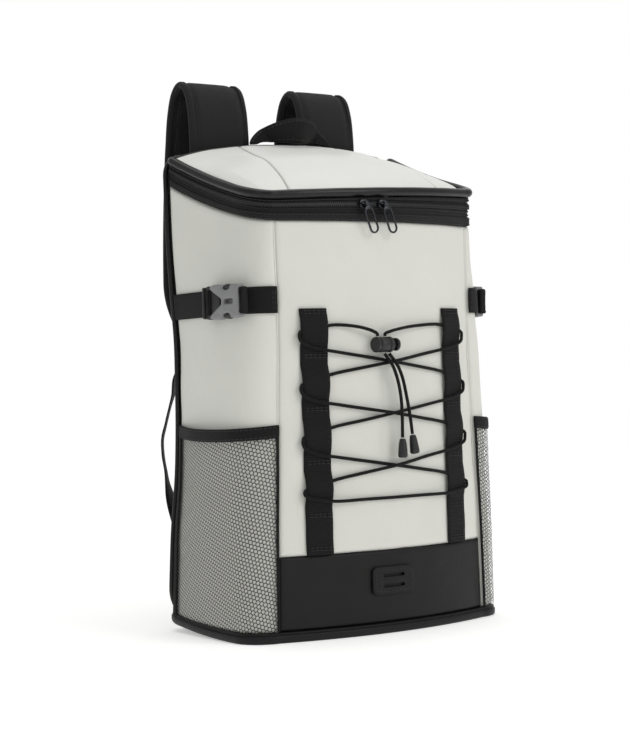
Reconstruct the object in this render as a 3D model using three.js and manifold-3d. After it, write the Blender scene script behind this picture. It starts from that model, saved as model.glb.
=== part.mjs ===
// A cooler backpack: padded light walls, black foot, zip and piping, laced front, net side pockets,
// buckled side straps, shoulder straps and a grab handle.
// Millimetres, +Z up, front towards -Y, origin at the middle of the underside.
import * as THREE from 'three';
import Module from 'manifold-3d';
import { mergeVertices } from 'three/addons/utils/BufferGeometryUtils.js';

const wasm = await Module();
wasm.setup();

// Driving dimensions of the bag
const clearance = 0.3;
const wallThickness = 4;
const seamHalfWidth = 115;
const backHalfWidth = 127;
const cornerRadius = 28;
const seamY = -70;
const bodyDepth = 150;
const frontBulge = 20;
const frontHeight = 390.5;
const lowerPanelTop = 78.5;

// Foot and back
const footHeight = 10;
const footFloor = 4;
const footProud = 3.5;
const footCorner = 26;
const backPanelThickness = 11;
const backCorner = 30;
const backTopCorner = 16;
const backPipingRadius = 2.4;

// Zip band and lid
const bandHeight = 32.5;
const bandGrowth = 4.5;
const bandRise = 46;
const rimLean = 5;
const bandWall = 3;
const coilRadius = 2;
const lidPipingRadius = 4.5;
const lidCrown = 27;
const lidDrop = 5;

// Webbing, lacing and lock
const frontWebbingWidth = 26.5;
const frontWebbingX = 83;
const frontWebbingTop = 308;
const webbingThickness = 1.6;
const loopHeight = 4.5;
const loopHalfLength = 17;
const loopPitch = 49.3;
const topLoopZ = 288;
const loopCount = 4;
const cordDiameter = 3.2;
const lockX = -16;
const lockZ = 273;
const lockRadius = 7.4;
const lockLength = 22;
const lockBore = 4.6;
const plungerHead = 6.2;
const plungerHeadLength = 5.6;
const plungerTravel = 3.5;
const bellLength = 18;
const bellRadius = 4.6;

// Patch, pockets and side straps
const patchWidth = 49;
const patchHeight = 26;
const patchX = -5;
const patchZ = 50;
const patchThickness = 2;
const patchRest = 0.9;
const slitLength = 25;
const slitHeight = 3;
const slitPitch = 9.8;
const pocketTop = 201;
const pocketSag = 3;
const pocketRoom = 8.5;
const netThickness = 1.2;
const hemHeight = 12;
const hemThickness = 2;
const strapWidth = 25;
const strapZ = 316.5;
const buckleLength = 67;
const buckleWidth = 33;
const buckleThickness = 9;
const buckleLeftY = -31;
const buckleRightY = -21;

// Carrying straps and handle
const shoulderX = 67.5;
const shoulderShift = 2.5;
const shoulderWidth = 70;
const shoulderThickness = 11;
const strapDrift = 11;
const strapDriftStart = 0.45;
const strapTaperStart = 0.86;
const strapTaper = 0.42;
const adjusterWidth = 33;
const adjusterHeight = 22;
const adjusterThickness = 5;
const adjusterSlotPlace = 5;
const handleX = 13;
const handleHalfSpan = 40;
const handleBand = 21;
const handleThickness = 4.5;
const handleTop = 500;
const handleLean = 18;
const handleRise = 1.25;
const handleFootShare = 0.35;

// Zip sliders and pulls
const sliderGap = 21.6;
const sliderX = -16.8;
const sliderWidth = 11;
const sliderHeight = 8.4;
const sliderPlate = 2.4;
const bridgeRadius = 0.9;
const bridgeLength = 8.8;
const postWidth = 1.6;
const postHeight = 1.6;
const postSink = 0.4;
const sleeveRadius = 2.3;
const sleeveLength = 4.6;
const pullStart = 1.9;
const pullLength = 30;
const pullWidth = 10.6;
const pullBar = 2.1;
const pullThickness = 2;
const pullSlant = 20 * Math.PI / 180;

const backY = seamY + bodyDepth;

// Body sections: height as a share of frontHeight, widths and corner as shares of the named ones, and how many
// times deeper than wide the corner's turn is
const bodySections = [
  { at: 0.04, seam: 1.071, back: 1.144, corner: 1.0, deep: 1.0 },
  { at: 0.243, seam: 1.057, back: 1.104, corner: 1.0, deep: 1.0 },
  { at: 0.384, seam: 1.039, back: 1.055, corner: 1.03, deep: 1.0 },
  { at: 0.507, seam: 1.026, back: 1.034, corner: 1.08, deep: 1.0 },
  { at: 0.627, seam: 1.01, back: 1.028, corner: 1.1, deep: 1.03 },
  { at: 0.73, seam: 1.0, back: 1.028, corner: 1.03, deep: 1.1 },
  { at: 0.842, seam: 1.002, back: 1.052, corner: 0.85, deep: 1.3 },
  { at: 1.0, seam: 1.009, back: 1.076, corner: 0.64, deep: 2.1 },
  { at: 1.2, seam: 1.009, back: 1.084, corner: 0.56, deep: 2.5 },
];

// Crown of the lid from front to back: place as a share of the lid's depth, rise as a share of lidCrown
const lidCrownRows = [
  { at: 0, rise: 0 },
  { at: 0.08, rise: 0.34 },
  { at: 0.18, rise: 0.62 },
  { at: 0.3, rise: 0.84 },
  { at: 0.5, rise: 1 },
  { at: 0.75, rise: 0.8 },
  { at: 1, rise: 0.58 },
];

// Lid seams: share of the half width at the front and at the back, they run unevenly on the real lid
const lidSeams = { left: { front: -0.715, back: -0.405 }, right: { front: 0.62, back: 0.5 } };

// Shoulder strap: y behind its seat on the back panel and z, as shares of strapReach and of the strap's top
const strapReach = 54.2;
const strapRise = 65.8;
const strapRows = [
  { reach: 0, height: 0.85 },
  { reach: 0, height: 0.905 },
  { reach: 0.06, height: 0.957 },
  { reach: 0.19, height: 0.988 },
  { reach: 0.38, height: 0.998 },
  { reach: 0.58, height: 0.985 },
  { reach: 0.735, height: 0.95 },
  { reach: 0.845, height: 0.89 },
  { reach: 0.91, height: 0.8 },
  { reach: 0.935, height: 0.7 },
  { reach: 0.92, height: 0.61 },
  { reach: 0.9, height: 0.545 },
];

// Webbing from a padded end to a lower corner: shares of backHalfWidth, strapReach and the strap's top
const lowerWebbingRows = [
  { across: 0.72, reach: 1.02, height: 0.455 },
  { across: 0.784, reach: 0.978, height: 0.417 },
  { across: 0.876, reach: 0.886, height: 0.367 },
  { across: 0.927, reach: 0.812, height: 0.34 },
  { across: 0.95, reach: 0.72, height: 0.312 },
  { across: 0.96, reach: 0.609, height: 0.285 },
  { across: 0.97, reach: 0.48, height: 0.257 },
  { across: 0.98, reach: 0.29, height: 0.226 },
  { across: 0.965, reach: 0.055, height: 0.19 },
];

// How far that webbing turns on edge, and the shares of its length in which it turns and turns back
const webbingTwist = 54 * Math.PI / 180;
const twistIn = 0.35;
const twistOut = 0.3;

// Smooth curve through the rows of a table
function along(rows, column, at) {
  const last = rows.length - 1;
  const place = THREE.MathUtils.clamp(at, rows[0].at, rows[last].at);
  let i = 0;
  while (i < last - 1 && place > rows[i + 1].at) i += 1;
  const slope = (k) => {
    const a = rows[Math.max(0, k - 1)];
    const b = rows[Math.min(last, k + 1)];
    return (b[column] - a[column]) / (b.at - a.at);
  };
  const span = rows[i + 1].at - rows[i].at;
  const t = (place - rows[i].at) / span;
  const h1 = 2 * t ** 3 - 3 * t ** 2 + 1;
  const h2 = t ** 3 - 2 * t ** 2 + t;
  const h3 = t ** 3 - t ** 2;
  return h1 * rows[i][column] + (1 - h1) * rows[i + 1][column] + span * (h2 * slope(i) + h3 * slope(i + 1));
}

const steps = (from, to, count) => Array.from({ length: count + 1 }, (_, i) => from + (to - from) * i / count);

// The bag's outer skin. |p| up to 1 is the front between the seams, 1 to 2 a side from seam to back.
const cornerShare = 0.36;

function skin(p, z, out = 0) {
  const at = z / frontHeight;
  const seam = seamHalfWidth * along(bodySections, 'seam', at);
  const back = backHalfWidth * along(bodySections, 'back', at);
  const corner = cornerRadius * along(bodySections, 'corner', at);
  const deep = corner * along(bodySections, 'deep', at);
  const a = Math.abs(p);
  let x;
  let y;
  let normal;
  if (a <= 1) {
    const slope = 2 * frontBulge * a / seam;
    x = seam * a;
    y = seamY - frontBulge * (1 - a * a);
    normal = new THREE.Vector2(a === 1 ? slope / 2 : slope, -1);
  } else if (a - 1 < cornerShare) {
    const turn = (a - 1) / cornerShare * Math.PI / 2;
    x = seam + corner * Math.sin(turn);
    y = seamY + deep * (1 - Math.cos(turn));
    normal = new THREE.Vector2(Math.sin(turn) * deep, -Math.cos(turn) * corner);
  } else {
    const k = (a - 1 - cornerShare) / (1 - cornerShare);
    const run = bodyDepth - deep;
    x = seam + corner + (back - seam - corner) * k * k;
    y = seamY + deep + run * k;
    normal = new THREE.Vector2(1, -2 * (back - seam - corner) * k / run);
  }
  normal.normalize();
  return new THREE.Vector3((p < 0 ? -1 : 1) * (x + normal.x * out), y + normal.y * out, z);
}

const cornerSteps = steps(1, 1 + cornerShare, 6);
const sideSteps = [...cornerSteps, ...steps(1 + cornerShare, 2, 5).slice(1)];
const frontSteps = steps(-1, 1, 10);
const wrapSide = [...sideSteps.slice(1, -1), 1.985];
const wrapSteps = [...wrapSide.slice().reverse().map((p) => -p), ...frontSteps, ...wrapSide];

// Heights of the zip band: its foot, and its top at the rim
function bandFoot(y) {
  const back = Math.max(0, y - seamY) / bodyDepth;
  return frontHeight + bandRise * (0.547 * back + 0.453 * back * back);
}

function rimTop(x, y) {
  const back = Math.max(0, y - seamY) / bodyDepth;
  const growth = bandGrowth * (1 - (1 - back) ** 2);
  return bandFoot(y) + bandHeight + growth + rimLean * x / seamHalfWidth;
}

// A closed solid from points and triangles, turned so that its faces point out
function solid(points, index) {
  let volume = 0;
  for (let i = 0; i < index.length; i += 3) {
    const [a, b, c] = [points[index[i]], points[index[i + 1]], points[index[i + 2]]];
    volume += a.dot(new THREE.Vector3().crossVectors(b, c));
  }
  const faces = volume < 0 ? index.slice().reverse() : index;
  const geometry = new THREE.BufferGeometry().setFromPoints(points);
  geometry.setIndex(faces);
  geometry.computeVertexNormals();
  return geometry;
}

// A cloth wall between an outer and an inner surface, both given over the same grid
function shell(us, vs, outer, inner) {
  const points = [outer, inner].flatMap((face) => vs.flatMap((v) => us.map((u) => face(u, v))));
  const index = [];
  const at = (face, i, j) => (face * vs.length + j) * us.length + i;
  const quad = (a, b, c, d) => index.push(a, b, c, a, c, d);
  const right = us.length - 1;
  const top = vs.length - 1;
  for (let i = 0; i < right; i += 1) {
    for (let j = 0; j < top; j += 1) {
      quad(at(0, i, j), at(0, i + 1, j), at(0, i + 1, j + 1), at(0, i, j + 1));
      quad(at(1, i, j), at(1, i, j + 1), at(1, i + 1, j + 1), at(1, i + 1, j));
    }
    quad(at(1, i, 0), at(1, i + 1, 0), at(0, i + 1, 0), at(0, i, 0));
    quad(at(0, i, top), at(0, i + 1, top), at(1, i + 1, top), at(1, i, top));
  }
  for (let j = 0; j < top; j += 1) {
    quad(at(0, 0, j), at(0, 0, j + 1), at(1, 0, j + 1), at(1, 0, j));
    quad(at(1, right, j), at(1, right, j + 1), at(0, right, j + 1), at(0, right, j));
  }
  return solid(points, index);
}

// A closed solid through loops of points, flat at both ends
function loft(loops) {
  const count = loops[0].length;
  const points = loops.flat();
  const index = [];
  for (let k = 0; k + 1 < loops.length; k += 1) {
    for (let i = 0; i < count; i += 1) {
      const a = k * count + i;
      const b = k * count + (i + 1) % count;
      index.push(a, b, b + count, a, b + count, a + count);
    }
  }
  for (const [loop, first, flip] of [[loops[0], 0, true], [loops.at(-1), (loops.length - 1) * count, false]]) {
    const normal = new THREE.Vector3();
    loop.forEach((point, i) => normal.add(new THREE.Vector3().crossVectors(point, loop[(i + 1) % count])));
    normal.normalize();
    const across = new THREE.Vector3().subVectors(loop[1], loop[0]).normalize();
    const up = new THREE.Vector3().crossVectors(normal, across);
    const flat = loop.map((point) => new THREE.Vector2(point.dot(across), point.dot(up)));
    for (const [a, b, c] of THREE.ShapeUtils.triangulateShape(flat, [])) {
      index.push(...(flip ? [first + c, first + b, first + a] : [first + a, first + b, first + c]));
    }
  }
  return solid(points, index);
}

// A round tube through points, with its frame carried along
function tube(points, radius, sides) {
  const loops = [];
  let side = new THREE.Vector3(0, 1, 0);
  points.forEach((point, i) => {
    const before = points[Math.max(0, i - 1)];
    const after = points[Math.min(points.length - 1, i + 1)];
    const ahead = new THREE.Vector3().subVectors(after, before).normalize();
    side = side.clone().addScaledVector(ahead, -side.dot(ahead)).normalize();
    const other = new THREE.Vector3().crossVectors(ahead, side);
    loops.push(steps(0, 2 * Math.PI, sides).slice(1).map((turn) => point.clone()
      .addScaledVector(side, radius * Math.cos(turn))
      .addScaledVector(other, radius * Math.sin(turn))));
  });
  return loft(loops);
}

// A flat band through places, each with its point, its direction across and its face direction
function band(places, width, thickness) {
  return loft(places.map(({ point, across, face }) => [[-1, 0], [1, 0], [1, 1], [-1, 1]].map(([w, t]) => point
    .clone().addScaledVector(across, w * width / 2).addScaledVector(face, t * thickness))));
}

function mergedOf(geometry) {
  const plain = geometry.clone();
  plain.deleteAttribute('normal');
  plain.deleteAttribute('uv');
  return mergeVertices(plain, 1e-4);
}

// The same surface with its faces turned out, for a mirrored piece
function outward(geometry) {
  const merged = mergedOf(geometry);
  const at = merged.attributes.position;
  const points = Array.from({ length: at.count }, (_, i) => new THREE.Vector3().fromBufferAttribute(at, i));
  return solid(points, Array.from(merged.index.array));
}

// A body for joins and cuts
function body(geometry) {
  const merged = mergedOf(geometry);
  return new wasm.Manifold(new wasm.Mesh({
    numProp: 3,
    vertProperties: new Float32Array(merged.attributes.position.array),
    triVerts: new Uint32Array(merged.index.array),
  }));
}

function geometryOf(manifold) {
  const mesh = manifold.getMesh();
  const geometry = new THREE.BufferGeometry();
  geometry.setAttribute('position', new THREE.BufferAttribute(new Float32Array(mesh.vertProperties), 3));
  geometry.setIndex(Array.from(mesh.triVerts));
  geometry.computeVertexNormals();
  return geometry;
}

// Materials
const finish = (color, roughness, metalness = 0) => new THREE.MeshStandardMaterial({ color, roughness, metalness });
const lightCloth = finish(0xd3d3cc, 0.5);
const lidCloth = finish(0xe2e3dd, 0.48);
const satinBlack = finish(0x2a2a2a, 0.4);
const blackCloth = finish(0x1e1e1e, 0.85);
const blackWebbing = finish(0x191919, 0.8);
const blackNet = finish(0x161616, 0.8);
const pipingGloss = finish(0x1b1b1b, 0.3);
const darkPlastic = finish(0x26282a, 0.4);
const gunmetal = finish(0x55575a, 0.35, 0.9);

const backpack = new THREE.Group();

function add(name, geometry, material, parent = backpack) {
  const mesh = new THREE.Mesh(geometry, material);
  mesh.name = name;
  parent.add(mesh);
  return mesh;
}

const sides = [{ name: 'left', sign: -1 }, { name: 'right', sign: 1 }];

// Front walls: a light panel and the black panel below it, both stopping short of the seams
const seamStep = 1 - clearance / seamHalfWidth;
const frontPlaces = frontSteps.map((p) => p * seamStep);

function frontWall(name, foot, top, rows, material) {
  add(name, shell(frontPlaces, steps(foot, top, rows), (p, z) => skin(p, z), (p, z) => skin(p, z, -wallThickness)),
    material);
}

frontWall('front_panel', lowerPanelTop + clearance, frontHeight - clearance, 8, lightCloth);
frontWall('front_lower_panel', footHeight + clearance, lowerPanelTop, 2, satinBlack);

// Side walls, from the front seam round the corner to the back, up to the sloping foot of the zip band
for (const { name, sign } of sides) {
  const height = (p, share, out) => {
    const foot = footHeight + clearance;
    const { y } = skin(p, frontHeight, out);
    return foot + (bandFoot(y) - clearance - foot) * share;
  };
  const wall = (out) => (p, share) => skin(sign * p, height(p, share, out), out);
  const places = sideSteps.map((p) => Math.min(Math.max(p, 1 + clearance / bodyDepth), 2 - clearance / bodyDepth));
  add(`side_panel_${name}`, shell(places, steps(0, 1, 12), wall(0), wall(-wallThickness)), lightCloth);
}

// Foot: floor and the band that stands out round it
function footLoop(out, z) {
  const rear = backY + backPanelThickness;
  const half = sideSteps.filter((p) => skin(p, footHeight).y < rear - footCorner - 12);
  const flank = half.map((p) => skin(p, footHeight, out));
  const start = flank.at(-1);
  const across = start.x - 4;
  const corner = new THREE.QuadraticBezierCurve(
    new THREE.Vector2(start.x - 1, rear + out - footCorner),
    new THREE.Vector2(across, rear + out),
    new THREE.Vector2(across - footCorner, rear + out),
  ).getPoints(4);
  const right = [...flank, ...corner.map((point) => new THREE.Vector3(point.x, point.y, z))];
  const left = right.slice().reverse().map((point) => new THREE.Vector3(-point.x, point.y, point.z));
  const front = frontSteps.slice(1, -1).map((p) => skin(p, footHeight, out));
  return [...front, ...right, ...left].map((point) => new THREE.Vector3(point.x, point.y, z));
}

const footEdge = 2.5;
add('base_panel', loft([
  footLoop(footProud - footEdge, 0),
  footLoop(footProud, footEdge),
  footLoop(footProud, footHeight - footEdge),
  footLoop(footProud - footEdge, footHeight),
  footLoop(-wallThickness, footHeight),
  footLoop(-wallThickness, footFloor),
]), satinBlack);

// Lid: a dome inside the rim piping, in three panels
const lidInset = lidPipingRadius + clearance + 0.4;
const lidBackY = backY - clearance;
const lidCornerPlace = 1 + cornerShare / 2;

function lidPlan(q, v) {
  const z = frontHeight + bandHeight;
  const edge = (p) => skin(p, z, -lidInset);
  const rear = edge(2).x;
  const front = edge(q * lidCornerPlace);
  const flank = edge(lidCornerPlace + (2 - lidCornerPlace) * v);
  const corner = edge(lidCornerPlace);
  const share = (q + 1) / 2;
  const x = (1 - v) * front.x + v * q * rear + (2 * share - 1) * (flank.x - (1 - v) * corner.x - v * rear);
  const y = (1 - v) * front.y + v * lidBackY + flank.y - (1 - v) * corner.y - v * edge(2).y;
  return { x, y: Math.min(y, lidBackY) };
}

function lidPoint(q, v, drop = 0) {
  const { x, y } = lidPlan(q, v);
  const rise = lidCrown * along(lidCrownRows, 'rise', v) * (1 - Math.abs(q) ** 2.3) ** 0.8;
  return new THREE.Vector3(x, y, rimTop(x, y) - lidPipingRadius + rise - drop);
}

const lidRows = [0, 0.05, 0.12, 0.2, 0.32, 0.48, 0.65, 0.82, 1];
const seamPlace = (seam, v) => seam.front + (seam.back - seam.front) * v;

function lidPanel(name, from, to, columns) {
  const place = (u, v) => from(v) + (to(v) - from(v)) * u;
  add(name, shell(steps(0, 1, columns), lidRows, (u, v) => lidPoint(place(u, v), v),
    (u, v) => lidPoint(place(u, v), v, wallThickness)), lidCloth);
}

const lidGap = clearance / seamHalfWidth / 2;
lidPanel('lid_side_left', () => -1, (v) => seamPlace(lidSeams.left, v) - lidGap, 4);
lidPanel('lid_center', (v) => seamPlace(lidSeams.left, v) + lidGap, (v) => seamPlace(lidSeams.right, v) - lidGap, 6);
lidPanel('lid_side_right', (v) => seamPlace(lidSeams.right, v) + lidGap, () => 1, 4);

// Zip band: heights above its foot at a place on the skin
function bandPlace(p, out) {
  const { x, y } = skin(p, frontHeight, out);
  const foot = bandFoot(y);
  const top = rimTop(x, y);
  return { x, y, foot, piping: top - lidPipingRadius, coil: foot + 0.5 * (top - foot) };
}

function bandPoint(p, out, height) {
  const place = bandPlace(p, out);
  return new THREE.Vector3(place.x, place.y, height(place));
}

// The piping climbs to the back, so it reaches further down than its radius
const pipingReach = lidPipingRadius * Math.hypot(1, 1.453 * bandRise / bodyDepth);

function bandStrip(name, foot, top) {
  const face = (out) => (p, share) => bandPoint(p, out, (at) => foot(at) + (top(at) - foot(at)) * share);
  add(name, shell(wrapSteps, [0, 1], face(-clearance), face(-bandWall)), blackCloth);
}

bandStrip('zip_band_lower', (at) => at.foot, (at) => at.coil - coilRadius - clearance);
bandStrip('zip_band_upper', (at) => at.coil + coilRadius + clearance, (at) => at.piping - pipingReach - clearance);
add('zip_coil', tube(wrapSteps.map((p) => bandPoint(p, -0.5, (at) => at.coil)), coilRadius, 6), blackWebbing);
add('lid_piping', tube(wrapSteps.map((p) => bandPoint(p, 0.2, (at) => at.piping)), lidPipingRadius, 8), pipingGloss);

// Back panel: a padded board with round corners, under the lid's back edge
const backInset = backPipingRadius - 0.9;
const backEdge = (z) => backHalfWidth * along(bodySections, 'back', z / frontHeight) - backInset;
const lidBackHeight = (x) => {
  const q = THREE.MathUtils.clamp(x / skin(2, frontHeight + bandHeight, -lidInset).x, -1, 1);
  return lidPoint(q, 1).z;
};

function backOutline(sign, out) {
  const foot = footHeight + clearance;
  const points = [];
  for (const turn of steps(0, Math.PI / 2, 4)) {
    const z = foot + backCorner * (1 - Math.cos(turn));
    const x = backEdge(foot + backCorner) - backCorner * (1 - Math.sin(turn));
    points.push([x + out * Math.sin(turn), z - out * Math.cos(turn)]);
  }
  const shoulder = lidBackHeight(sign * (backEdge(frontHeight) - backTopCorner)) - lidDrop - backTopCorner;
  for (const z of steps(foot + backCorner, shoulder, 9).slice(1)) points.push([backEdge(z) + out, z]);
  for (const turn of steps(0, Math.PI / 2, 3).slice(1)) {
    const x = backEdge(shoulder) - backTopCorner * (1 - Math.cos(turn));
    const z = shoulder + backTopCorner * Math.sin(turn);
    points.push([x + out * Math.cos(turn), z + out * Math.sin(turn)]);
  }
  const reach = backEdge(shoulder) - backTopCorner;
  for (const share of [0.75, 0.5, 0.25]) {
    points.push([reach * share, lidBackHeight(sign * reach * share) - lidDrop + out]);
  }
  return points.map(([x, z]) => new THREE.Vector2(sign * x, z));
}

function backLoop(out, y) {
  const middle = new THREE.Vector2(0, lidBackHeight(0) - lidDrop + out);
  const loop = [...backOutline(1, out), middle, ...backOutline(-1, out).reverse()];
  return loop.map((point) => new THREE.Vector3(point.x, y, point.y));
}

const backFrontY = backY + clearance;
const backRearY = backY + backPanelThickness;
add('back_panel', loft([
  backLoop(0, backFrontY),
  backLoop(0, backRearY - 5),
  backLoop(-2, backRearY - 1.6),
  backLoop(-6, backRearY),
]), blackCloth);

const pipingY = backFrontY + backPipingRadius + 0.1;
const pipingOut = backPipingRadius + clearance;
add('back_piping', tube(backLoop(pipingOut, pipingY).slice(2, -2), backPipingRadius, 6), pipingGloss);

// Front webbings, lifted off the front where the lacing runs behind them
const loopPlaces = Array.from({ length: loopCount }, (_, i) => topLoopZ - loopPitch * i);

function webbingLift(z) {
  const near = Math.min(...loopPlaces.map((at) => Math.abs(z - at)));
  const share = Math.max(0, 1 - (near / loopHalfLength) ** 2);
  return loopHeight * share ** 1.2;
}

const frontY = (x, z, out) => {
  const seam = seamHalfWidth * along(bodySections, 'seam', z / frontHeight);
  return skin(x / seam, z, out).y;
};

for (const { name, sign } of sides) {
  const x = sign * frontWebbingX;
  const rest = 0.5;
  const face = (out) => (share, z) => {
    const at = x + (share - 0.5) * frontWebbingWidth;
    return new THREE.Vector3(at, frontY(at, z, out + webbingLift(z)), z);
  };
  const heights = [];
  for (const at of loopPlaces) heights.push(...[1, 0.8, 0.55, 0, -0.55, -0.8, -1].map((k) => at + k * loopHalfLength));
  heights.unshift(frontWebbingTop);
  heights.push(lowerPanelTop + 24, lowerPanelTop + clearance);
  add(`front_webbing_${name}`, shell([0, 1], heights, face(rest + webbingThickness), face(rest)), blackWebbing);
}

// Lash patch with two slits, bent to the front
function roundRect(shape, width, height, radius) {
  const w = width / 2;
  const h = height / 2;
  shape.moveTo(w - radius, -h);
  shape.absarc(w - radius, -h + radius, radius, -Math.PI / 2, 0);
  shape.absarc(w - radius, h - radius, radius, 0, Math.PI / 2);
  shape.absarc(-w + radius, h - radius, radius, Math.PI / 2, Math.PI);
  shape.absarc(-w + radius, -h + radius, radius, Math.PI, 1.5 * Math.PI);
  shape.closePath();
  return shape;
}

{
  const shape = roundRect(new THREE.Shape(), patchWidth, patchHeight, 5);
  for (const sign of [-1, 1]) {
    const slit = roundRect(new THREE.Path(), slitLength, slitHeight, slitHeight / 2 - 0.01);
    slit.curves.forEach((curve) => {
      if (curve.isEllipseCurve) curve.aY += sign * slitPitch / 2;
      else {
        curve.v1.y += sign * slitPitch / 2;
        curve.v2.y += sign * slitPitch / 2;
      }
    });
    shape.holes.push(slit);
  }
  const plate = new THREE.ExtrudeGeometry(shape, { depth: patchThickness, bevelEnabled: false, curveSegments: 3 });
  const at = plate.attributes.position;
  for (let i = 0; i < at.count; i += 1) {
    const x = patchX + at.getX(i);
    const z = patchZ + at.getY(i);
    at.setXYZ(i, x, frontY(x, z, patchRest + at.getZ(i)), z);
  }
  plate.computeVertexNormals();
  add('lash_patch', plate, satinBlack);
}

// Net pockets: bellied sheets with a hem, open at the top
const pocketSpan = [1.02, 1.985];

function pocketOut(p) {
  const share = (p - pocketSpan[0]) / (pocketSpan[1] - pocketSpan[0]);
  return 0.6 + pocketRoom * Math.sin(Math.PI * share ** 1.25) ** 1.3;
}

function pocketPoint(sign, p, z, share, out) {
  const belly = 0.25 + 0.75 * Math.sin(Math.PI * Math.min(1, 0.5 * share + 0.12) * 0.9);
  return skin(sign * p, z, 0.6 + (pocketOut(p) - 0.6) * belly + out);
}

const pocketSteps = [...cornerSteps.slice(1), ...steps(1 + cornerShare, 2, 6).slice(1, -1)];
const pocketPlaces = [pocketSpan[0], ...pocketSteps, pocketSpan[1]];

for (const { name, sign } of sides) {
  const foot = footHeight + clearance;
  const sag = (p) => pocketSag * Math.sin(Math.PI * (p - pocketSpan[0]) / (pocketSpan[1] - pocketSpan[0]));
  const top = (p) => pocketTop - sag(p);
  const sheet = (out) => (p, share) => {
    const z = foot + (top(p) - hemHeight - clearance - foot) * share;
    return pocketPoint(sign, p, z, (z - foot) / (pocketTop - foot), out);
  };
  add(`pocket_mesh_${name}`, shell(pocketPlaces, [0, 0.06, 0.16, 0.34, 0.56, 0.78, 1], sheet(netThickness), sheet(0)),
    blackNet);
  const hem = (out) => (p, share) => {
    const z = top(p) - hemHeight * (1 - share);
    return pocketPoint(sign, p, z, (z - foot) / (pocketTop - foot), out);
  };
  add(`pocket_hem_${name}`, shell(pocketPlaces, [0, 1], hem(hemThickness), hem(0)), blackWebbing);
}

// Side straps and the fastened buckles
function sideShare(z, y) {
  let low = 1;
  let high = 2;
  for (let i = 0; i < 40; i += 1) {
    const mid = (low + high) / 2;
    if (skin(mid, z).y < y) low = mid;
    else high = mid;
  }
  return low;
}

const strapRest = 0.9;
const strapOut = strapRest + webbingThickness;
const buckleLift = strapOut + clearance;
const ladderLength = 18;
const armLength = 26;
const armHeight = 6.2;
const armRoom = 0.5;
const buckleCorner = 3;
const barWidth = 4;
const slotWidth = 3.5;
const slotHalf = strapWidth / 2 + 0.5;
const nose = buckleWidth / 2 - armHeight - clearance;

function polygon(points) {
  return new THREE.Shape(points.map(([y, z]) => new THREE.Vector2(y, z)));
}

function slot(fromY, toY, half) {
  return new THREE.Path([[fromY, -half], [toY, -half], [toY, half], [fromY, half]]
    .map(([y, z]) => new THREE.Vector2(y, z)));
}

function plateOf(shape, thickness, bevel) {
  return new THREE.ExtrudeGeometry(shape, {
    depth: thickness - 2 * bevel, bevelThickness: bevel, bevelSize: bevel, bevelOffset: -bevel, bevelSegments: 1,
    curveSegments: 4,
  }).translate(0, 0, bevel);
}

for (const { name, sign } of sides) {
  const middle = sign < 0 ? buckleLeftY : buckleRightY;
  const half = buckleLength / 2;
  const strapFace = (out) => (p, share) => skin(sign * p, strapZ + (share - 0.5) * strapWidth, out);
  const strapSteps = (from, to) => [from, ...sideSteps.filter((p) => p > from + 0.01 && p < to - 0.01), to];
  const under = 12;
  const frontEnd = sideShare(strapZ, middle - half + under);
  const rearStart = sideShare(strapZ, middle + half - under);
  add(`side_strap_front_${name}`, shell(strapSteps(1.012, frontEnd), [0, 1], strapFace(strapOut),
    strapFace(strapRest)), blackWebbing);
  add(`side_strap_rear_${name}`, shell(strapSteps(rearStart, 1.99), [0, 1], strapFace(strapOut),
    strapFace(strapRest)), blackWebbing);

  const holder = new THREE.Group();
  const seats = steps(-half, half, 8).map((y) => {
    const low = skin(sideShare(strapZ - strapWidth / 2, middle + y), strapZ - strapWidth / 2, buckleLift);
    const high = skin(sideShare(strapZ + strapWidth / 2, middle + y), strapZ + strapWidth / 2, buckleLift);
    return new THREE.Vector2(Math.max(low.x, high.x), y);
  });
  const lean = Math.atan2(seats[5].x - seats[3].x, seats[5].y - seats[3].y);
  const seatX = Math.max(...seats.map(({ x, y }) => x - Math.tan(lean) * y));
  holder.position.set(sign * seatX, middle, strapZ);
  const w = buckleWidth / 2;
  const cut = buckleCorner;
  const mouth = half - ladderLength;
  const armTip = mouth - armLength;
  const outerNose = nose + armRoom;
  const female = polygon([[-half, -w + cut], [-half + cut, -w], [armTip, -w], [armTip, -nose], [mouth, -nose],
    [mouth, nose], [armTip, nose], [armTip, w], [-half + cut, w], [-half, w - cut]]);
  female.holes.push(slot(-half + barWidth, -half + barWidth + slotWidth, slotHalf));
  const male = polygon([[mouth + armRoom, -outerNose], [mouth + armRoom, outerNose], [armTip + armRoom, outerNose],
    [armTip + armRoom, w], [half - cut, w], [half, w - cut], [half, -w + cut], [half - cut, -w],
    [armTip + armRoom, -w], [armTip + armRoom, -outerNose]]);
  male.holes.push(slot(half - barWidth - slotWidth, half - barWidth, slotHalf));
  for (const [part, shape] of [['female', female], ['male', male]]) {
    const plate = plateOf(shape, buckleThickness, 0.8);
    plate.applyMatrix4(new THREE.Matrix4().makeBasis(new THREE.Vector3(0, 1, 0), new THREE.Vector3(0, 0, 1),
      new THREE.Vector3(sign, 0, 0)));
    add(`buckle_${part}_${name}`, outward(plate), darkPlastic, holder);
  }
  holder.rotation.z = -sign * lean;
  backpack.add(holder);
}

// Lacing: a cord through the webbing loops, crossing over the front, both ends in the lock
const cordRadius = cordDiameter / 2;
const behind = cordRadius + 0.5;
const inner = frontWebbingX - frontWebbingWidth / 2;
const outer = frontWebbingX + frontWebbingWidth / 2;
const overWebbing = (z) => webbingLift(z) + 0.5 + webbingThickness + clearance + cordRadius + 0.3;
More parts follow.
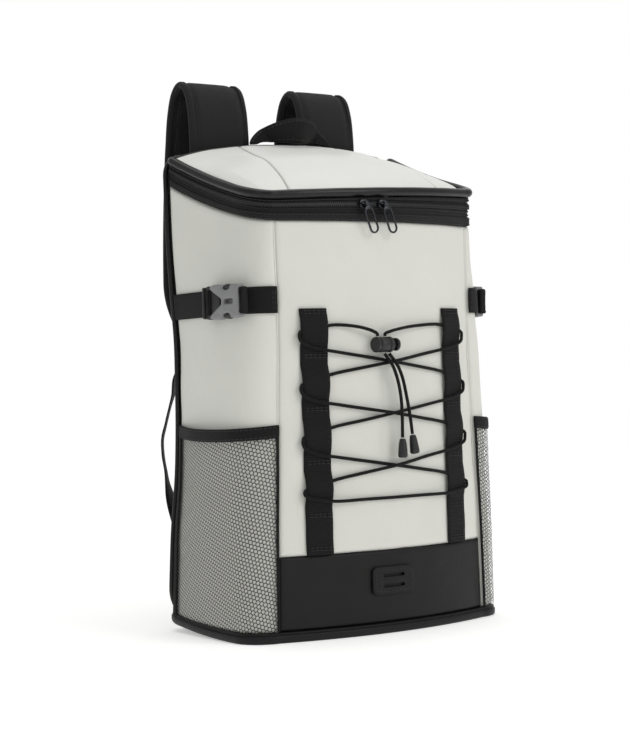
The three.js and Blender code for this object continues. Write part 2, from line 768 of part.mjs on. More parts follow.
// Places on one side of the lacing: x from the middle, z, and how the cord lies there
const strandEnd = [
  { x: inner - 8, z: 8.6, lie: 'free' },
  { x: inner + 1, z: 6.4, lie: 'behind' },
  { x: frontWebbingX, z: 3, lie: 'behind' },
  { x: outer - 1, z: -1.2, lie: 'behind' },
  { x: outer + 2.7, z: -3.6, lie: 'edge' },
  { x: outer + 2.9, z: -7.4, lie: 'edge' },
  { x: outer + 0.4, z: -11.5, lie: 'over' },
  { x: frontWebbingX + 6, z: -15.4, lie: 'over' },
  { x: frontWebbingX - 4, z: -18.2, lie: 'over' },
  { x: inner - 3, z: -20.2, lie: 'over' },
];

function lacingPoint(sign, loop, { x, z, lie }) {
  const at = loopPlaces[loop] + z;
  const out = { free: behind + 0.2, behind, edge: behind + 2.6, over: overWebbing(at) }[lie];
  return new THREE.Vector3(sign * x, frontY(x, at, out), at);
}

function crossing(from, to, high) {
  return [0.2, 0.36, 0.5, 0.64, 0.8].map((share) => {
    const x = from.x + (to.x - from.x) * share;
    const z = from.z + (to.z - from.z) * share;
    const near = Math.max(0, 1 - Math.abs(share - 0.5) / 0.3);
    const out = behind + 0.4 + (high ? (cordDiameter + 0.5) * near : 0);
    return new THREE.Vector3(x, frontY(x, z, out), z);
  });
}

function lacingHalf(startSign, high) {
  const points = [];
  let sign = startSign;
  for (let loop = 0; loop < loopCount; loop += 1) {
    const turn = strandEnd.map((row) => lacingPoint(sign, loop, row));
    if (points.length) points.push(...crossing(points.at(-1), turn[0], high));
    points.push(...turn);
    sign = -sign;
  }
  return points;
}

const lockY = frontY(lockX, lockZ, lockRadius + 0.8);
const lockTop = lockZ + lockRadius + clearance;
const lockEntry = (x) => [0.3, 4.5].map((rise) => new THREE.Vector3(x, lockY + 1, lockTop + rise));
const left = lacingHalf(-1, false);
const right = lacingHalf(1, true);
const bottom = [];
{
  const from = left.at(-1);
  const to = right.at(-1);
  for (const share of [0.25, 0.5, 0.75]) {
    const x = from.x + (to.x - from.x) * share;
    const z = from.z + (to.z - from.z) * share;
    bottom.push(new THREE.Vector3(x, frontY(x, z, behind + 0.4), z));
  }
}
const topRun = (entry, end, reach) => [0.15, 0.45, 0.75].map((share) => {
  const x = entry.x + (end.x - entry.x) * share;
  const z = entry.z + (end.z - entry.z) * share ** 0.8;
  return new THREE.Vector3(x, frontY(x, z, behind + 0.6 + reach * (1 - share)), z);
});
const leftEntry = lockEntry(lockX - 4);
const rightEntry = lockEntry(lockX + 5);
const lacing = [...leftEntry, ...topRun(leftEntry[1], left[0], 5), ...left, ...bottom, ...right.slice().reverse(),
  ...topRun(rightEntry[1], right[0], 5).reverse(), ...rightEntry.reverse()];
add('lacing_cord', tube(lacing, cordRadius, 6), blackWebbing);

// Cord lock: a barrel lying across, with its plunger in a bore
{
  const profile = [[0, 0], [lockRadius - 1.5, 0], [lockRadius, 1.5], [lockRadius, lockLength - 1.5],
    [lockRadius - 1.5, lockLength], [lockBore, lockLength], [lockBore, lockLength - 13], [0, lockLength - 13]];
  const barrel = new THREE.LatheGeometry(profile.map(([r, h]) => new THREE.Vector2(r, h)), 16);
  const lock = new THREE.Group();
  lock.position.set(lockX - lockLength / 2, lockY, lockZ);
  lock.rotation.z = -Math.PI / 2;
  backpack.add(lock);
  add('cord_lock_body', barrel, darkPlastic, lock);
  const stem = lockBore - clearance - 0.1;
  const start = lockLength - 13 + plungerTravel + 1;
  const head = lockLength + plungerTravel + 0.5;
  const knob = [[0, start], [stem, start], [stem, head], [plungerHead, head], [plungerHead, head + 4],
    [plungerHead - 1.6, head + plungerHeadLength], [0, head + plungerHeadLength]];
  add('cord_lock_plunger', new THREE.LatheGeometry(knob.map(([r, h]) => new THREE.Vector2(r, h)), 16), darkPlastic,
    lock);
}

// Free tails below the lock, each with its bell
const tailOut = 11.4;
const tails = [
  { name: 'left', route: [[-19, 264.6], [-14.5, 249], [-9, 234], [-4.6, 219], [-1.2, 203], [0.6, 184.4]] },
  { name: 'right', route: [[-12.4, 264.6], [-7.5, 251], [-1, 236], [5, 220], [9.6, 204], [13.6, 187.4]] },
];
for (const { name, route } of tails) {
  const points = route.map(([x, z], i) => {
    const out = i === 0 ? lockRadius + 0.8 : tailOut;
    return new THREE.Vector3(x, frontY(x, z, out), z);
  });
  points[0].z = lockZ - lockRadius - clearance - 0.9;
  const curve = new THREE.CatmullRomCurve3(points, false, 'centripetal');
  add(`cord_tail_${name}`, tube(curve.getSpacedPoints(10), cordRadius, 8), blackWebbing);
  const end = points.at(-1);
  const lean = Math.atan2(end.x - points.at(-2).x, points.at(-2).z - end.z);
  const profile = [[0, 0], [cordRadius + 0.9, 0], [bellRadius - 1, 5], [bellRadius, bellLength - 2],
    [bellRadius - 1, bellLength], [0, bellLength]];
  const bell = add(`cord_end_${name}`, new THREE.LatheGeometry(profile.map(([r, h]) => new THREE.Vector2(r, h)), 12),
    darkPlastic);
  bell.rotation.set(-Math.PI / 2, lean, 0, 'YXZ');
  const down = new THREE.Vector3(Math.sin(lean), 0, -Math.cos(lean));
  bell.position.copy(end).addScaledVector(down, clearance + 0.6);
}

// Shoulder straps: padded bands that rise from the back panel and hang down behind it
const strapSeat = shoulderThickness / 2 + clearance;
const strapTop = lidBackHeight(shoulderX) - lidDrop + strapRise;
const strapPath = new THREE.CatmullRomCurve3(strapRows.map(({ reach, height }) => new THREE.Vector3(
  0, backRearY + strapSeat + strapReach * reach, strapTop * height)), false, 'centripetal');
const strapStations = 22;
const shoulderMiddle = (sign, share) => (
  shoulderShift + sign * (shoulderX + strapDrift * Math.max(0, share - strapDriftStart)));

for (const { name, sign } of sides) {
  const loops = steps(0, 1, strapStations).map((share) => {
    const point = strapPath.getPointAt(share);
    const ahead = strapPath.getTangentAt(share);
    const face = new THREE.Vector3(0, -ahead.z, ahead.y);
    const taper = Math.max(0, (share - strapTaperStart) / (1 - strapTaperStart));
    const narrow = 1 - strapTaper * taper ** 2;
    const half = shoulderWidth / 2 * narrow;
    const x = shoulderMiddle(sign, share);
    const ring = [[-1, -0.2], [-0.82, -0.42], [0, -0.5], [0.82, -0.42], [1, -0.2], [1, 0.2], [0.82, 0.42], [0, 0.5],
      [-0.82, 0.42], [-1, 0.2]];
    return ring.map(([w, t]) => new THREE.Vector3(x + w * half, point.y, point.z)
      .addScaledVector(face, t * shoulderThickness));
  });
  add(`shoulder_strap_${name}`, loft(loops), blackCloth);
}

// Adjusters at the padded ends, and the webbings down to the lower corners
const strapFootPoint = strapPath.getPointAt(1);
for (const { name, sign } of sides) {
  const x = shoulderMiddle(sign, 1);
  const frame = roundRect(new THREE.Shape(), adjusterWidth, adjusterHeight, 3);
  for (const at of [-1, 1]) {
    const low = at * adjusterSlotPlace - slotWidth / 2;
    frame.holes.push(new THREE.Path([[-slotHalf, low], [slotHalf, low], [slotHalf, low + slotWidth],
      [-slotHalf, low + slotWidth]].map(([a, b]) => new THREE.Vector2(a, b))));
  }
  const adjuster = add(`strap_adjuster_${name}`, plateOf(frame, adjusterThickness, 0.6), darkPlastic);
  adjuster.rotation.x = Math.PI / 2;
  adjuster.position.set(x, strapFootPoint.y + adjusterThickness / 2, strapFootPoint.z - adjusterHeight / 2 - 0.6);
  const from = new THREE.Vector3(x, strapFootPoint.y, strapFootPoint.z - adjusterHeight - 1.2);
  const route = [from, from.clone().setZ(from.z - 10), ...lowerWebbingRows.map(({ across, reach, height }) => (
    new THREE.Vector3(sign * backHalfWidth * across, backRearY + strapReach * reach, strapTop * height)))];
  const curve = new THREE.CatmullRomCurve3(route, false, 'centripetal');
  const places = steps(0, 1, 16).map((share) => {
    const ahead = curve.getTangentAt(share);
    const turn = webbingTwist * Math.sin(Math.PI / 2 * Math.min(1, share / twistIn, (1 - share) / twistOut));
    const across = new THREE.Vector3(Math.cos(turn), -sign * Math.sin(turn), 0);
    across.addScaledVector(ahead, -across.dot(ahead)).normalize();
    return { point: curve.getPointAt(share), across, face: new THREE.Vector3().crossVectors(across, ahead) };
  });
  add(`lower_webbing_${name}`, band(places, strapWidth, webbingThickness), blackWebbing);
}

// Grab handle: a flat band standing in an arch behind the lid
{
  const loops = steps(0, Math.PI, 16).map((turn) => {
    const ringX = (r) => -r * Math.cos(turn);
    const lift = Math.sin(turn) ** handleRise;
    const point = (radial, y) => {
      const x = handleX + ringX(handleHalfSpan + radial);
      const foot = lidBackHeight(x) + pipingOut + backPipingRadius - lidDrop + clearance + 0.3;
      const z = foot + (handleTop + radial - foot) * lift;
      return new THREE.Vector3(x, y, z);
    };
    const forward = backFrontY + clearance - handleLean * Math.max(0, (lift - 0.6) / 0.4);
    const h = handleBand / 2 * (handleFootShare + (1 - handleFootShare) * Math.sin(turn));
    return [point(-h, forward), point(h, forward), point(h, forward + handleThickness),
      point(-h, forward + handleThickness)];
  });
  add('grab_handle', loft(loops), blackWebbing);
}

// Zip sliders with a bridge, and pulls hanging from the bridges by a sleeve
const pullLoop = roundRect(new THREE.Shape(), pullWidth, pullLength - sleeveRadius, pullWidth / 2 - 0.01);
pullLoop.holes.push(roundRect(new THREE.Path(), pullWidth - 2 * pullBar, pullLength - sleeveRadius - 2 * pullBar - 3,
  pullWidth / 2 - pullBar - 0.01));

sides.forEach(({ name, sign }) => {
  const x = sliderX + sign * sliderGap / 2;
  const z = bandPlace(x / seamHalfWidth, 0).coil;
  const slider = new THREE.Group();
  slider.position.set(x, frontY(x, z, coilRadius - 0.5 + clearance + 0.1), z);
  backpack.add(slider);
  const bridgeY = -sliderPlate - sleeveRadius - clearance - 0.1;
  const plate = new THREE.BoxGeometry(sliderWidth, sliderPlate, sliderHeight).translate(0, -sliderPlate / 2, 0);
  const bar = new THREE.CylinderGeometry(bridgeRadius, bridgeRadius, bridgeLength, 10).rotateZ(Math.PI / 2)
    .translate(0, bridgeY, 0);
  let bodyOf = body(plate).add(body(bar));
  for (const end of [-1, 1]) {
    const post = new THREE.BoxGeometry(postWidth, -bridgeY - sliderPlate + bridgeRadius + postSink, postHeight)
      .translate(end * bridgeLength / 2, (bridgeY - bridgeRadius - sliderPlate + postSink) / 2, 0);
    bodyOf = bodyOf.add(body(post));
  }
  add(`zip_slider_${name}`, geometryOf(bodyOf), gunmetal, slider);

  const sleeve = new THREE.Shape();
  sleeve.absarc(0, 0, sleeveRadius, 0, 2 * Math.PI);
  const bore = new THREE.Path();
  bore.absarc(0, 0, bridgeRadius + 0.45, 0, 2 * Math.PI);
  sleeve.holes.push(bore);
  const ring = new THREE.ExtrudeGeometry(sleeve, { depth: sleeveLength, bevelEnabled: false, curveSegments: 5 })
    .translate(0, 0, -sleeveLength / 2).rotateY(Math.PI / 2);
  const loop = new THREE.ExtrudeGeometry(pullLoop, { depth: pullThickness, bevelEnabled: false, curveSegments: 4 })
    .translate(0, -(pullLength - sleeveRadius) / 2 - pullStart, -pullThickness / 2).rotateX(Math.PI / 2)
    .rotateY(-pullSlant);
  const hanging = new THREE.Group();
  hanging.position.set(0, bridgeY, 0);
  slider.add(hanging);
  add(`zip_pull_${name}`, geometryOf(body(ring).add(body(loop))), gunmetal, hanging);
});

export default backpack;
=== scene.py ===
"""Visual model of a cooler backpack, built piece by piece on its CAD frame.

Points are worked out in millimetres in the CAD frame (+Z up, front towards -Y) and stored in metres.
"""
import math

import bmesh
import bpy
import numpy as np
from bpy.props import FloatProperty, FloatVectorProperty, PointerProperty
from mathutils import Matrix, Vector
from mathutils.bvhtree import BVHTree


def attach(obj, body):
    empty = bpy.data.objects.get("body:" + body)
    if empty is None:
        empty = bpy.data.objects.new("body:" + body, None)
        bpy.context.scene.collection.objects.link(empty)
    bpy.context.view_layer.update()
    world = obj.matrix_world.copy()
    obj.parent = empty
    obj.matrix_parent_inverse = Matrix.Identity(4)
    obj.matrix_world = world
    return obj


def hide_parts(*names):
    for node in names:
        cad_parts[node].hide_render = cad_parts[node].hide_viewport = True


bl_info = {
    "name": "Cooler backpack",
    "version": (1, 0, 0),
    "blender": (4, 5, 0),
    "location": "View3D > Sidebar > Backpack",
    "description": "Builds the visual model of a cooler backpack on its CAD frame",
    "category": "Object",
}

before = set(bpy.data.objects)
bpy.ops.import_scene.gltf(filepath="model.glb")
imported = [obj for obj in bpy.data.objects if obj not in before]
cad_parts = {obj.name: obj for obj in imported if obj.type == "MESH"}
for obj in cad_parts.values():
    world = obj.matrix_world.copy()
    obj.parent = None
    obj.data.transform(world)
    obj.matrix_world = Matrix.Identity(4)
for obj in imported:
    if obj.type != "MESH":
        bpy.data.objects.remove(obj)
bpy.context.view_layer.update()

# Dimensions in millimetres, most of them shared with the CAD part; the webbing's loops lie flatter here
MM = 0.001
GAP = 0.3
SEAM_HALF = 115.0
BACK_HALF = 127.0
CORNER = 28.0
SEAM_Y = -70.0
DEPTH = 150.0
BACK_Y = SEAM_Y + DEPTH
BULGE = 20.0
FRONT_HEIGHT = 390.5
LOWER_TOP = 78.5
WALL = 4.0
FOOT_HEIGHT = 10.0
FOOT_PROUD = 3.5
FOOT_CORNER = 26.0
REAR_LIFT = 10.0
BACK_THICKNESS = 11.0
BACK_CORNER = 30.0
BACK_TOP_CORNER = 16.0
BACK_PIPING = 2.4
BAND_HEIGHT = 32.5
BAND_GROWTH = 4.5
BAND_RISE = 46.0
RIM_LEAN = 5.0
LID_PIPING = 4.5
LID_CROWN = 27.0
LID_DROP = 5.0
WEB_X = 83.0
WEB_WIDTH = 26.5
WEB_TOP = 308.0
WEB_THICK = 1.6
WEB_REST = 0.5
LOOP_HEIGHT = 2.6
LOOP_HALF = 17.0
LOOPS = [288.0 - 49.3 * i for i in range(4)]
CORD_R = 1.6
LOCK_X = -16.0
LOCK_Z = 273.0
LOCK_R = 7.4
LOCK_LENGTH = 22.0
PLUNGER_R = 6.2
BELL_R = 4.6
BELL_LENGTH = 18.0
PATCH = (49.0, 26.0, -5.0, 50.0)
PATCH_REST = 0.9
POCKET_SPAN = (1.006, 1.985)
POCKET_TOP = 201.0
POCKET_SAG = 3.0
POCKET_ROOM = 8.5
HEM_HEIGHT = 12.0
STRAP_WIDTH = 25.0
STRAP_Z = 316.5
BUCKLE = (67.0, 33.0, 9.0)
LADDER = 18.0
SHOULDER_X = 67.5
SHOULDER_SHIFT = 2.5
SHOULDER_WIDTH = 70.0
SHOULDER_THICK = 11.0
STRAP_DRIFT = 11.0
BUCKLE_MIDDLE = {"left": -31.0, "right": -21.0}
STRAP_REACH = 54.2
STRAP_RISE = 65.8
HANDLE_X = 13.0
HANDLE_HALF = 40.0
HANDLE_BAND = 21.0
HANDLE_THICK = 4.5
HANDLE_TOP = 500.0
HANDLE_LEAN = 18.0
REAR_Y = BACK_Y + BACK_THICKNESS
SIDES = (("left", -1), ("right", 1))

BODY_AT = [0.04, 0.243, 0.384, 0.507, 0.627, 0.73, 0.842, 1.0, 1.2]
BODY_SEAM = [1.071, 1.057, 1.039, 1.026, 1.01, 1.0, 1.002, 1.009, 1.009]
BODY_BACK = [1.144, 1.104, 1.055, 1.034, 1.028, 1.028, 1.052, 1.076, 1.084]
BODY_CORNER = [1.0, 1.0, 1.03, 1.08, 1.1, 1.03, 0.85, 0.64, 0.56]
BODY_DEEP = [1.0, 1.0, 1.0, 1.0, 1.03, 1.1, 1.3, 2.1, 2.5]
CORNER_SHARE = 0.36
CROWN_AT = [0, 0.08, 0.18, 0.3, 0.5, 0.75, 1]
CROWN_RISE = [0, 0.34, 0.62, 0.84, 1, 0.8, 0.58]
LID_SEAMS = {"left": (-0.715, -0.405), "right": (0.62, 0.5)}
STRAP_ROWS = [(0, 0.85), (0, 0.905), (0.06, 0.957), (0.19, 0.988), (0.38, 0.998), (0.58, 0.985),
              (0.735, 0.95), (0.845, 0.89), (0.91, 0.8), (0.935, 0.7), (0.92, 0.61), (0.9, 0.545)]
LOWER_WEBBING = [(0.72, 1.02, 0.455), (0.784, 0.978, 0.417), (0.876, 0.886, 0.367), (0.927, 0.812, 0.34),
                 (0.95, 0.72, 0.312), (0.96, 0.609, 0.285), (0.97, 0.48, 0.257), (0.98, 0.29, 0.226),
                 (0.965, 0.055, 0.19)]
WEBBING_TWIST = math.radians(54)


def linear(code):
    """An sRGB colour code as linear red, green and blue."""
    parts = [int(code[i:i + 2], 16) / 255 for i in (0, 2, 4)]
    return tuple(c / 12.92 if c <= 0.04045 else ((c + 0.055) / 1.055) ** 2.4 for c in parts)


def length_setting(name, description, millimetres):
    """A length that a user may change, stored in metres."""
    return FloatProperty(name=name, description=description, default=millimetres * MM, min=0.0001,
                         unit="LENGTH", precision=5)


def colour_setting(name, description, code):
    """A colour that a user may change."""
    return FloatVectorProperty(name=name, description=description, default=linear(code), min=0, max=1,
                               size=3, subtype="COLOR")


class BackpackSizes(bpy.types.PropertyGroup):
    """Sizes of the sewn and woven detail"""
    stitch: length_setting("Stitch length", "Length of one visible stitch", 3.2)
    stitch_gap: length_setting("Stitch gap", "Gap between two stitches", 1.3)
    thread: length_setting("Thread", "Thickness of the sewing thread", 0.75)
    tooth_pitch: length_setting("Tooth pitch", "Distance from zip tooth to zip tooth", 2.1)
    net_cell: length_setting("Net cell", "Distance between the holes of the net", 3.6)
    net_strand: length_setting("Net strand", "Width of the net's strands", 0.72)
    seam_depth: length_setting("Seam depth", "How deep the padding pulls in at a seam", 1.6)
    seam_width: length_setting("Seam width", "How far from a seam the padding pulls in", 4.0)
    rib: length_setting("Webbing rib", "Distance between the ribs of the webbing", 1.7)


class BackpackColours(bpy.types.PropertyGroup):
    """Colours of the finishes"""
    light_panels: colour_setting("Light panels", "Padded walls", "d6d6cf")
    lid_cloth: colour_setting("Lid", "Cloth of the lid", "e3e4de")
    satin_black: colour_setting("Satin black", "Coated cloth of the foot and lower panel", "181818")
    black_cloth: colour_setting("Black cloth", "Woven cloth of the straps, zip band and back", "202020")
    black_webbing: colour_setting("Webbing", "Ribbed webbing and cord", "141414")
    black_net: colour_setting("Net", "Net of the side pockets", "191919")
    piping_gloss: colour_setting("Piping", "Glossy piping", "0c0c0c")
    dark_plastic: colour_setting("Dark plastic", "Cord lock, cord ends and adjusters", "0e0f10")
    buckle_plastic: colour_setting("Buckle plastic", "Side buckles", "7c7d7d")
    gunmetal: colour_setting("Gunmetal", "Zip sliders and pulls", "3c3d40")
    thread: colour_setting("Thread", "Sewing thread", "303030")
    floor: colour_setting("Floor", "Studio floor", "f2f2f0")
    card: colour_setting("Card", "White card behind the backpack", "ffffff")


def sizes():
    return bpy.context.scene.backpack_sizes


def size_mm(name):
    """A user's length in millimetres."""
    return getattr(sizes(), name) / MM


# Shape of the bag


def along(places, values, at):
    """Smooth curve through a table's rows."""
    xs = np.asarray(places, dtype=float)
    ys = np.asarray(values, dtype=float)
    last = len(xs) - 1
    low = np.maximum(0, np.arange(last + 1) - 1)
    high = np.minimum(last, np.arange(last + 1) + 1)
    slope = (ys[high] - ys[low]) / (xs[high] - xs[low])
    place = np.clip(at, xs[0], xs[-1])
    i = np.clip(np.searchsorted(xs, place, side="left") - 1, 0, last - 1)
    span = xs[i + 1] - xs[i]
    t = (place - xs[i]) / span
    h1 = 2 * t ** 3 - 3 * t ** 2 + 1
    h2 = t ** 3 - 2 * t ** 2 + t
    h3 = t ** 3 - t ** 2
    return h1 * ys[i] + (1 - h1) * ys[i + 1] + span * (h2 * slope[i] + h3 * slope[i + 1])


def skin(p, z, out=0.0):
    """Points and outward directions on the bag's outer skin: |p| up to 1 front, 1 to 2 side."""
    p, z, out = np.broadcast_arrays(np.asarray(p, float), np.asarray(z, float), np.asarray(out, float))
    at = z / FRONT_HEIGHT
    seam = SEAM_HALF * along(BODY_AT, BODY_SEAM, at)
    back = BACK_HALF * along(BODY_AT, BODY_BACK, at)
    corner = CORNER * along(BODY_AT, BODY_CORNER, at)
    deep = corner * along(BODY_AT, BODY_DEEP, at)
    a = np.abs(p)
    turn = np.clip((a - 1) / CORNER_SHARE, 0, 1) * math.pi / 2
    k = np.clip((a - 1 - CORNER_SHARE) / (1 - CORNER_SHARE), 0, 1)
    run = DEPTH - deep
    bend = back - seam - corner
    front = a <= 1
    round_part = a - 1 < CORNER_SHARE
    slope = 2 * BULGE * a / seam * np.where(a == 1, 0.5, 1.0)
    x = np.where(front, seam * a, np.where(round_part, seam + corner * np.sin(turn), seam + corner + bend * k * k))
    y = np.where(front, SEAM_Y - BULGE * (1 - a * a),
                 np.where(round_part, SEAM_Y + deep * (1 - np.cos(turn)), SEAM_Y + deep + run * k))
    nx = np.where(front, slope, np.where(round_part, np.sin(turn) * deep, 1.0))
    ny = np.where(front, -1.0, np.where(round_part, -np.cos(turn) * corner, -2 * bend * k / run))
    size = np.hypot(nx, ny)
    nx = nx / size
    ny = ny / size
    sign = np.where(p < 0, -1.0, 1.0)
    points = np.stack([sign * (x + nx * out), y + ny * out, z + 0 * x], axis=-1)
    normals = np.stack([sign * nx, ny, 0 * nx], axis=-1)
    return points, normals


def band_foot(y):
    b = np.maximum(0, y - SEAM_Y) / DEPTH
    return FRONT_HEIGHT + BAND_RISE * (0.547 * b + 0.453 * b * b)


def rim_top(x, y):
    b = np.maximum(0, y - SEAM_Y) / DEPTH
    return band_foot(y) + BAND_HEIGHT + BAND_GROWTH * (1 - (1 - b) ** 2) + RIM_LEAN * x / SEAM_HALF


def front_y(x, z, out):
    seam = SEAM_HALF * along(BODY_AT, BODY_SEAM, np.asarray(z, float) / FRONT_HEIGHT)
    return skin(np.asarray(x, float) / seam, z, out)[0][..., 1]


def on_front(x, z, out):
    """Points at x, z that stand out from the front by a distance."""
    x, z, out = np.broadcast_arrays(np.asarray(x, float), np.asarray(z, float), np.asarray(out, float))
    return np.stack([x, front_y(x, z, out), z], axis=-1)


LID_INSET = LID_PIPING + GAP + 0.4
LID_BACK_Y = BACK_Y - GAP
LID_CORNER = 1 + CORNER_SHARE / 2


def lid_point(q, v, drop=0.0):
    """A point of the lid: q across from -1 to 1, v from front to back."""
    q, v = np.broadcast_arrays(np.asarray(q, float), np.asarray(v, float))
    z = FRONT_HEIGHT + BAND_HEIGHT

    def edge(p):
        return skin(p, z, -LID_INSET)[0]

    rear = edge(2.0)
    front = edge(q * LID_CORNER)
    flank = edge(LID_CORNER + (2 - LID_CORNER) * v)
    corner = edge(LID_CORNER)
    x = (1 - v) * front[..., 0] + v * q * rear[0] + q * (flank[..., 0] - (1 - v) * corner[0] - v * rear[0])
    y = (1 - v) * front[..., 1] + v * LID_BACK_Y + flank[..., 1] - (1 - v) * corner[1] - v * rear[1]
    y = np.minimum(y, LID_BACK_Y)
    rise = LID_CROWN * along(CROWN_AT, CROWN_RISE, v) * np.maximum(0, 1 - np.abs(q) ** 2.3) ** 0.8
    return np.stack([x, y, rim_top(x, y) - LID_PIPING + rise - drop], axis=-1)


def lid_back_height(x):
    half = skin(2.0, FRONT_HEIGHT + BAND_HEIGHT, -LID_INSET)[0][0]
    return lid_point(np.clip(np.asarray(x, float) / half, -1, 1), 1.0)[..., 2]


def band_point(p, out, level, height=0.0):
    """A point of the zip band at a level (foot, coil or piping), raised by a height."""
    at = skin(p, FRONT_HEIGHT, out)[0]
    x, y = at[..., 0], at[..., 1]
    foot = band_foot(y)
    top = rim_top(x, y)
    levels = {"foot": foot, "coil": foot + 0.5 * (top - foot), "piping": top - LID_PIPING}
    return np.stack([x, y, levels[level] + height + 0 * x], axis=-1)


def web_lift(z):
    near = np.min(np.abs(np.asarray(z, float)[..., None] - np.asarray(LOOPS)), axis=-1)
    return LOOP_HEIGHT * np.maximum(0, 1 - (near / LOOP_HALF) ** 2) ** 1.2


def rail(points, count=None, spacing=None):
    """Evenly spaced points on a smooth curve through the given ones."""
    pts = np.asarray(points, float)
    padded = np.vstack([2 * pts[0] - pts[1], pts, 2 * pts[-1] - pts[-2]])
    dense = []
    for i in range(len(pts) - 1):
        a, b, c, d = padded[i:i + 4]
        knots = [0.0]
        for s, e in ((a, b), (b, c), (c, d)):
            knots.append(knots[-1] + max(1e-6, np.linalg.norm(e - s) ** 0.5))
        t = np.linspace(knots[1], knots[2], 24, endpoint=False)[:, None]
        k0, k1, k2, k3 = knots
        a1 = (k1 - t) / (k1 - k0) * a + (t - k0) / (k1 - k0) * b
        a2 = (k2 - t) / (k2 - k1) * b + (t - k1) / (k2 - k1) * c
        a3 = (k3 - t) / (k3 - k2) * c + (t - k2) / (k3 - k2) * d
        b1 = (k2 - t) / (k2 - k0) * a1 + (t - k0) / (k2 - k0) * a2
        b2 = (k3 - t) / (k3 - k1) * a2 + (t - k1) / (k3 - k1) * a3
        dense.append((k2 - t) / (k2 - k1) * b1 + (t - k1) / (k2 - k1) * b2)
    return evenly(np.vstack(dense + [pts[-1:]]), count, spacing)


def lengths_of(points):
    steps = np.linalg.norm(np.diff(points, axis=0), axis=1)
    return np.concatenate([[0], np.cumsum(steps)])


def evenly(points, count=None, spacing=None):
    """Points resampled at equal distances along a line."""
    run = lengths_of(points)
    if count is None:
        count = max(2, int(round(run[-1] / spacing)) + 1)
    at = np.linspace(0, run[-1], count)
    return np.stack([np.interp(at, run, points[:, k]) for k in range(3)], axis=-1)


def unit(vectors):
    return vectors / np.maximum(1e-9, np.linalg.norm(vectors, axis=-1, keepdims=True))


def tangents(points):
    return unit(np.gradient(points, axis=0))


# Mesh building


def mesh_object(name, points, faces, material, cloth=None, smooth=True):
    """A mesh object from points in millimetres, with its place on the cloth kept for the weave."""
    mesh = bpy.data.meshes.new(name)
    mesh.from_pydata((np.asarray(points, float) * MM).tolist(), [], [list(map(int, f)) for f in faces])
    if cloth is not None:
        layer = mesh.attributes.new("cloth", "FLOAT_VECTOR", "POINT")
        layer.data.foreach_set("vector", np.asarray(cloth, dtype=np.float32).ravel())
    mesh.polygons.foreach_set("use_smooth", [smooth] * len(mesh.polygons))
    mesh.materials.append(material)
    obj = bpy.data.objects.new(name, mesh)
    bpy.context.scene.collection.objects.link(obj)
    return obj


def place(obj, body, slot, *nodes):
    """Puts a piece on its body and lets it stand for its CAD nodes; slot is not used."""
    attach(obj, body)
    if nodes:
        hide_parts(*nodes)
    return obj


def grid_faces(rows, columns, start=0, flip=False):
    faces = []
    for j in range(rows - 1):
        for i in range(columns - 1):
            a = start + j * columns + i
            quad = (a, a + 1, a + columns + 1, a + columns)
            faces.append(quad[::-1] if flip else quad)
    return faces


def grid_normals(points):
    across = np.gradient(points, axis=1)
    up = np.gradient(points, axis=0)
    return unit(np.cross(across, up))


def cloth_place(points):
    """Millimetres across and along a grid of points."""
    across = np.linalg.norm(np.diff(points, axis=1), axis=2)
    up = np.linalg.norm(np.diff(points, axis=0), axis=2)
    u = np.concatenate([np.zeros((points.shape[0], 1)), np.cumsum(across, axis=1)], axis=1)
    v = np.concatenate([np.zeros((1, points.shape[1])), np.cumsum(up, axis=0)], axis=0)
    return np.stack([u, v, 0 * u], axis=-1)


def sheet_object(name, points, material, outward, roll=0.0):
    """An open sheet over a grid of points; roll turns its edges in."""
    normals = grid_normals(points)
    facing = np.sum(normals * outward(points)) if callable(outward) else np.sum(normals * outward)
    flip = facing < 0
    cloth = cloth_place(points)
    if roll:
        inward = normals if flip else -normals
        pad = ((1, 1), (1, 1), (0, 0))
        depth = np.pad(np.zeros(points.shape[:2]), 1, constant_values=roll)[..., None]
        points = np.pad(points, pad, mode="edge") + np.pad(inward, pad, mode="edge") * depth
        cloth = np.pad(cloth, pad, mode="edge")
    rows, columns = points.shape[:2]
    return mesh_object(name, points.reshape(-1, 3), grid_faces(rows, columns, flip=flip), material,
                       cloth.reshape(-1, 3))


def quilted(points, depth, width, outward):
    """The grid with its edges pulled in as padding is at a seam."""
    normals = grid_normals(points)
    if np.sum(normals * outward) < 0:
        normals = -normals
    cloth = cloth_place(points)
    u, v = cloth[..., 0], cloth[..., 1]
    edge = np.minimum(np.minimum(u, u[:, -1:] - u), np.minimum(v, v[-1:, :] - v))
    share = np.clip(edge / width, 0, 1)
    return points - normals * (depth * (1 - share) ** 2.2)[..., None]


def sweep(name, sections, material, cloth=None, closed=False):
    """A solid through closed sections, capped at both ends unless it closes on itself."""
    sections = np.asarray(sections, float)
    rows, count = sections.shape[:2]
    wrapped = np.concatenate([sections, sections[:, :1]], axis=1)
    if cloth is None:
        cloth = cloth_place(wrapped)
    faces = grid_faces(rows, count + 1)
    if not closed:
        faces.append(tuple(range(count))[::-1])
        faces.append(tuple((rows - 1) * (count + 1) + i for i in range(count)))
    obj = mesh_object(name, wrapped.reshape(-1, 3), faces, material, cloth.reshape(-1, 3))
    weld(obj)
    return obj


def weld(obj, distance=1e-6):
    """Joins points that lie on each other and turns the faces out."""
    work = bmesh.new()
    work.from_mesh(obj.data)
    bmesh.ops.remove_doubles(work, verts=work.verts, dist=distance)
    bmesh.ops.recalc_face_normals(work, faces=work.faces)
    work.to_mesh(obj.data)
    work.free()


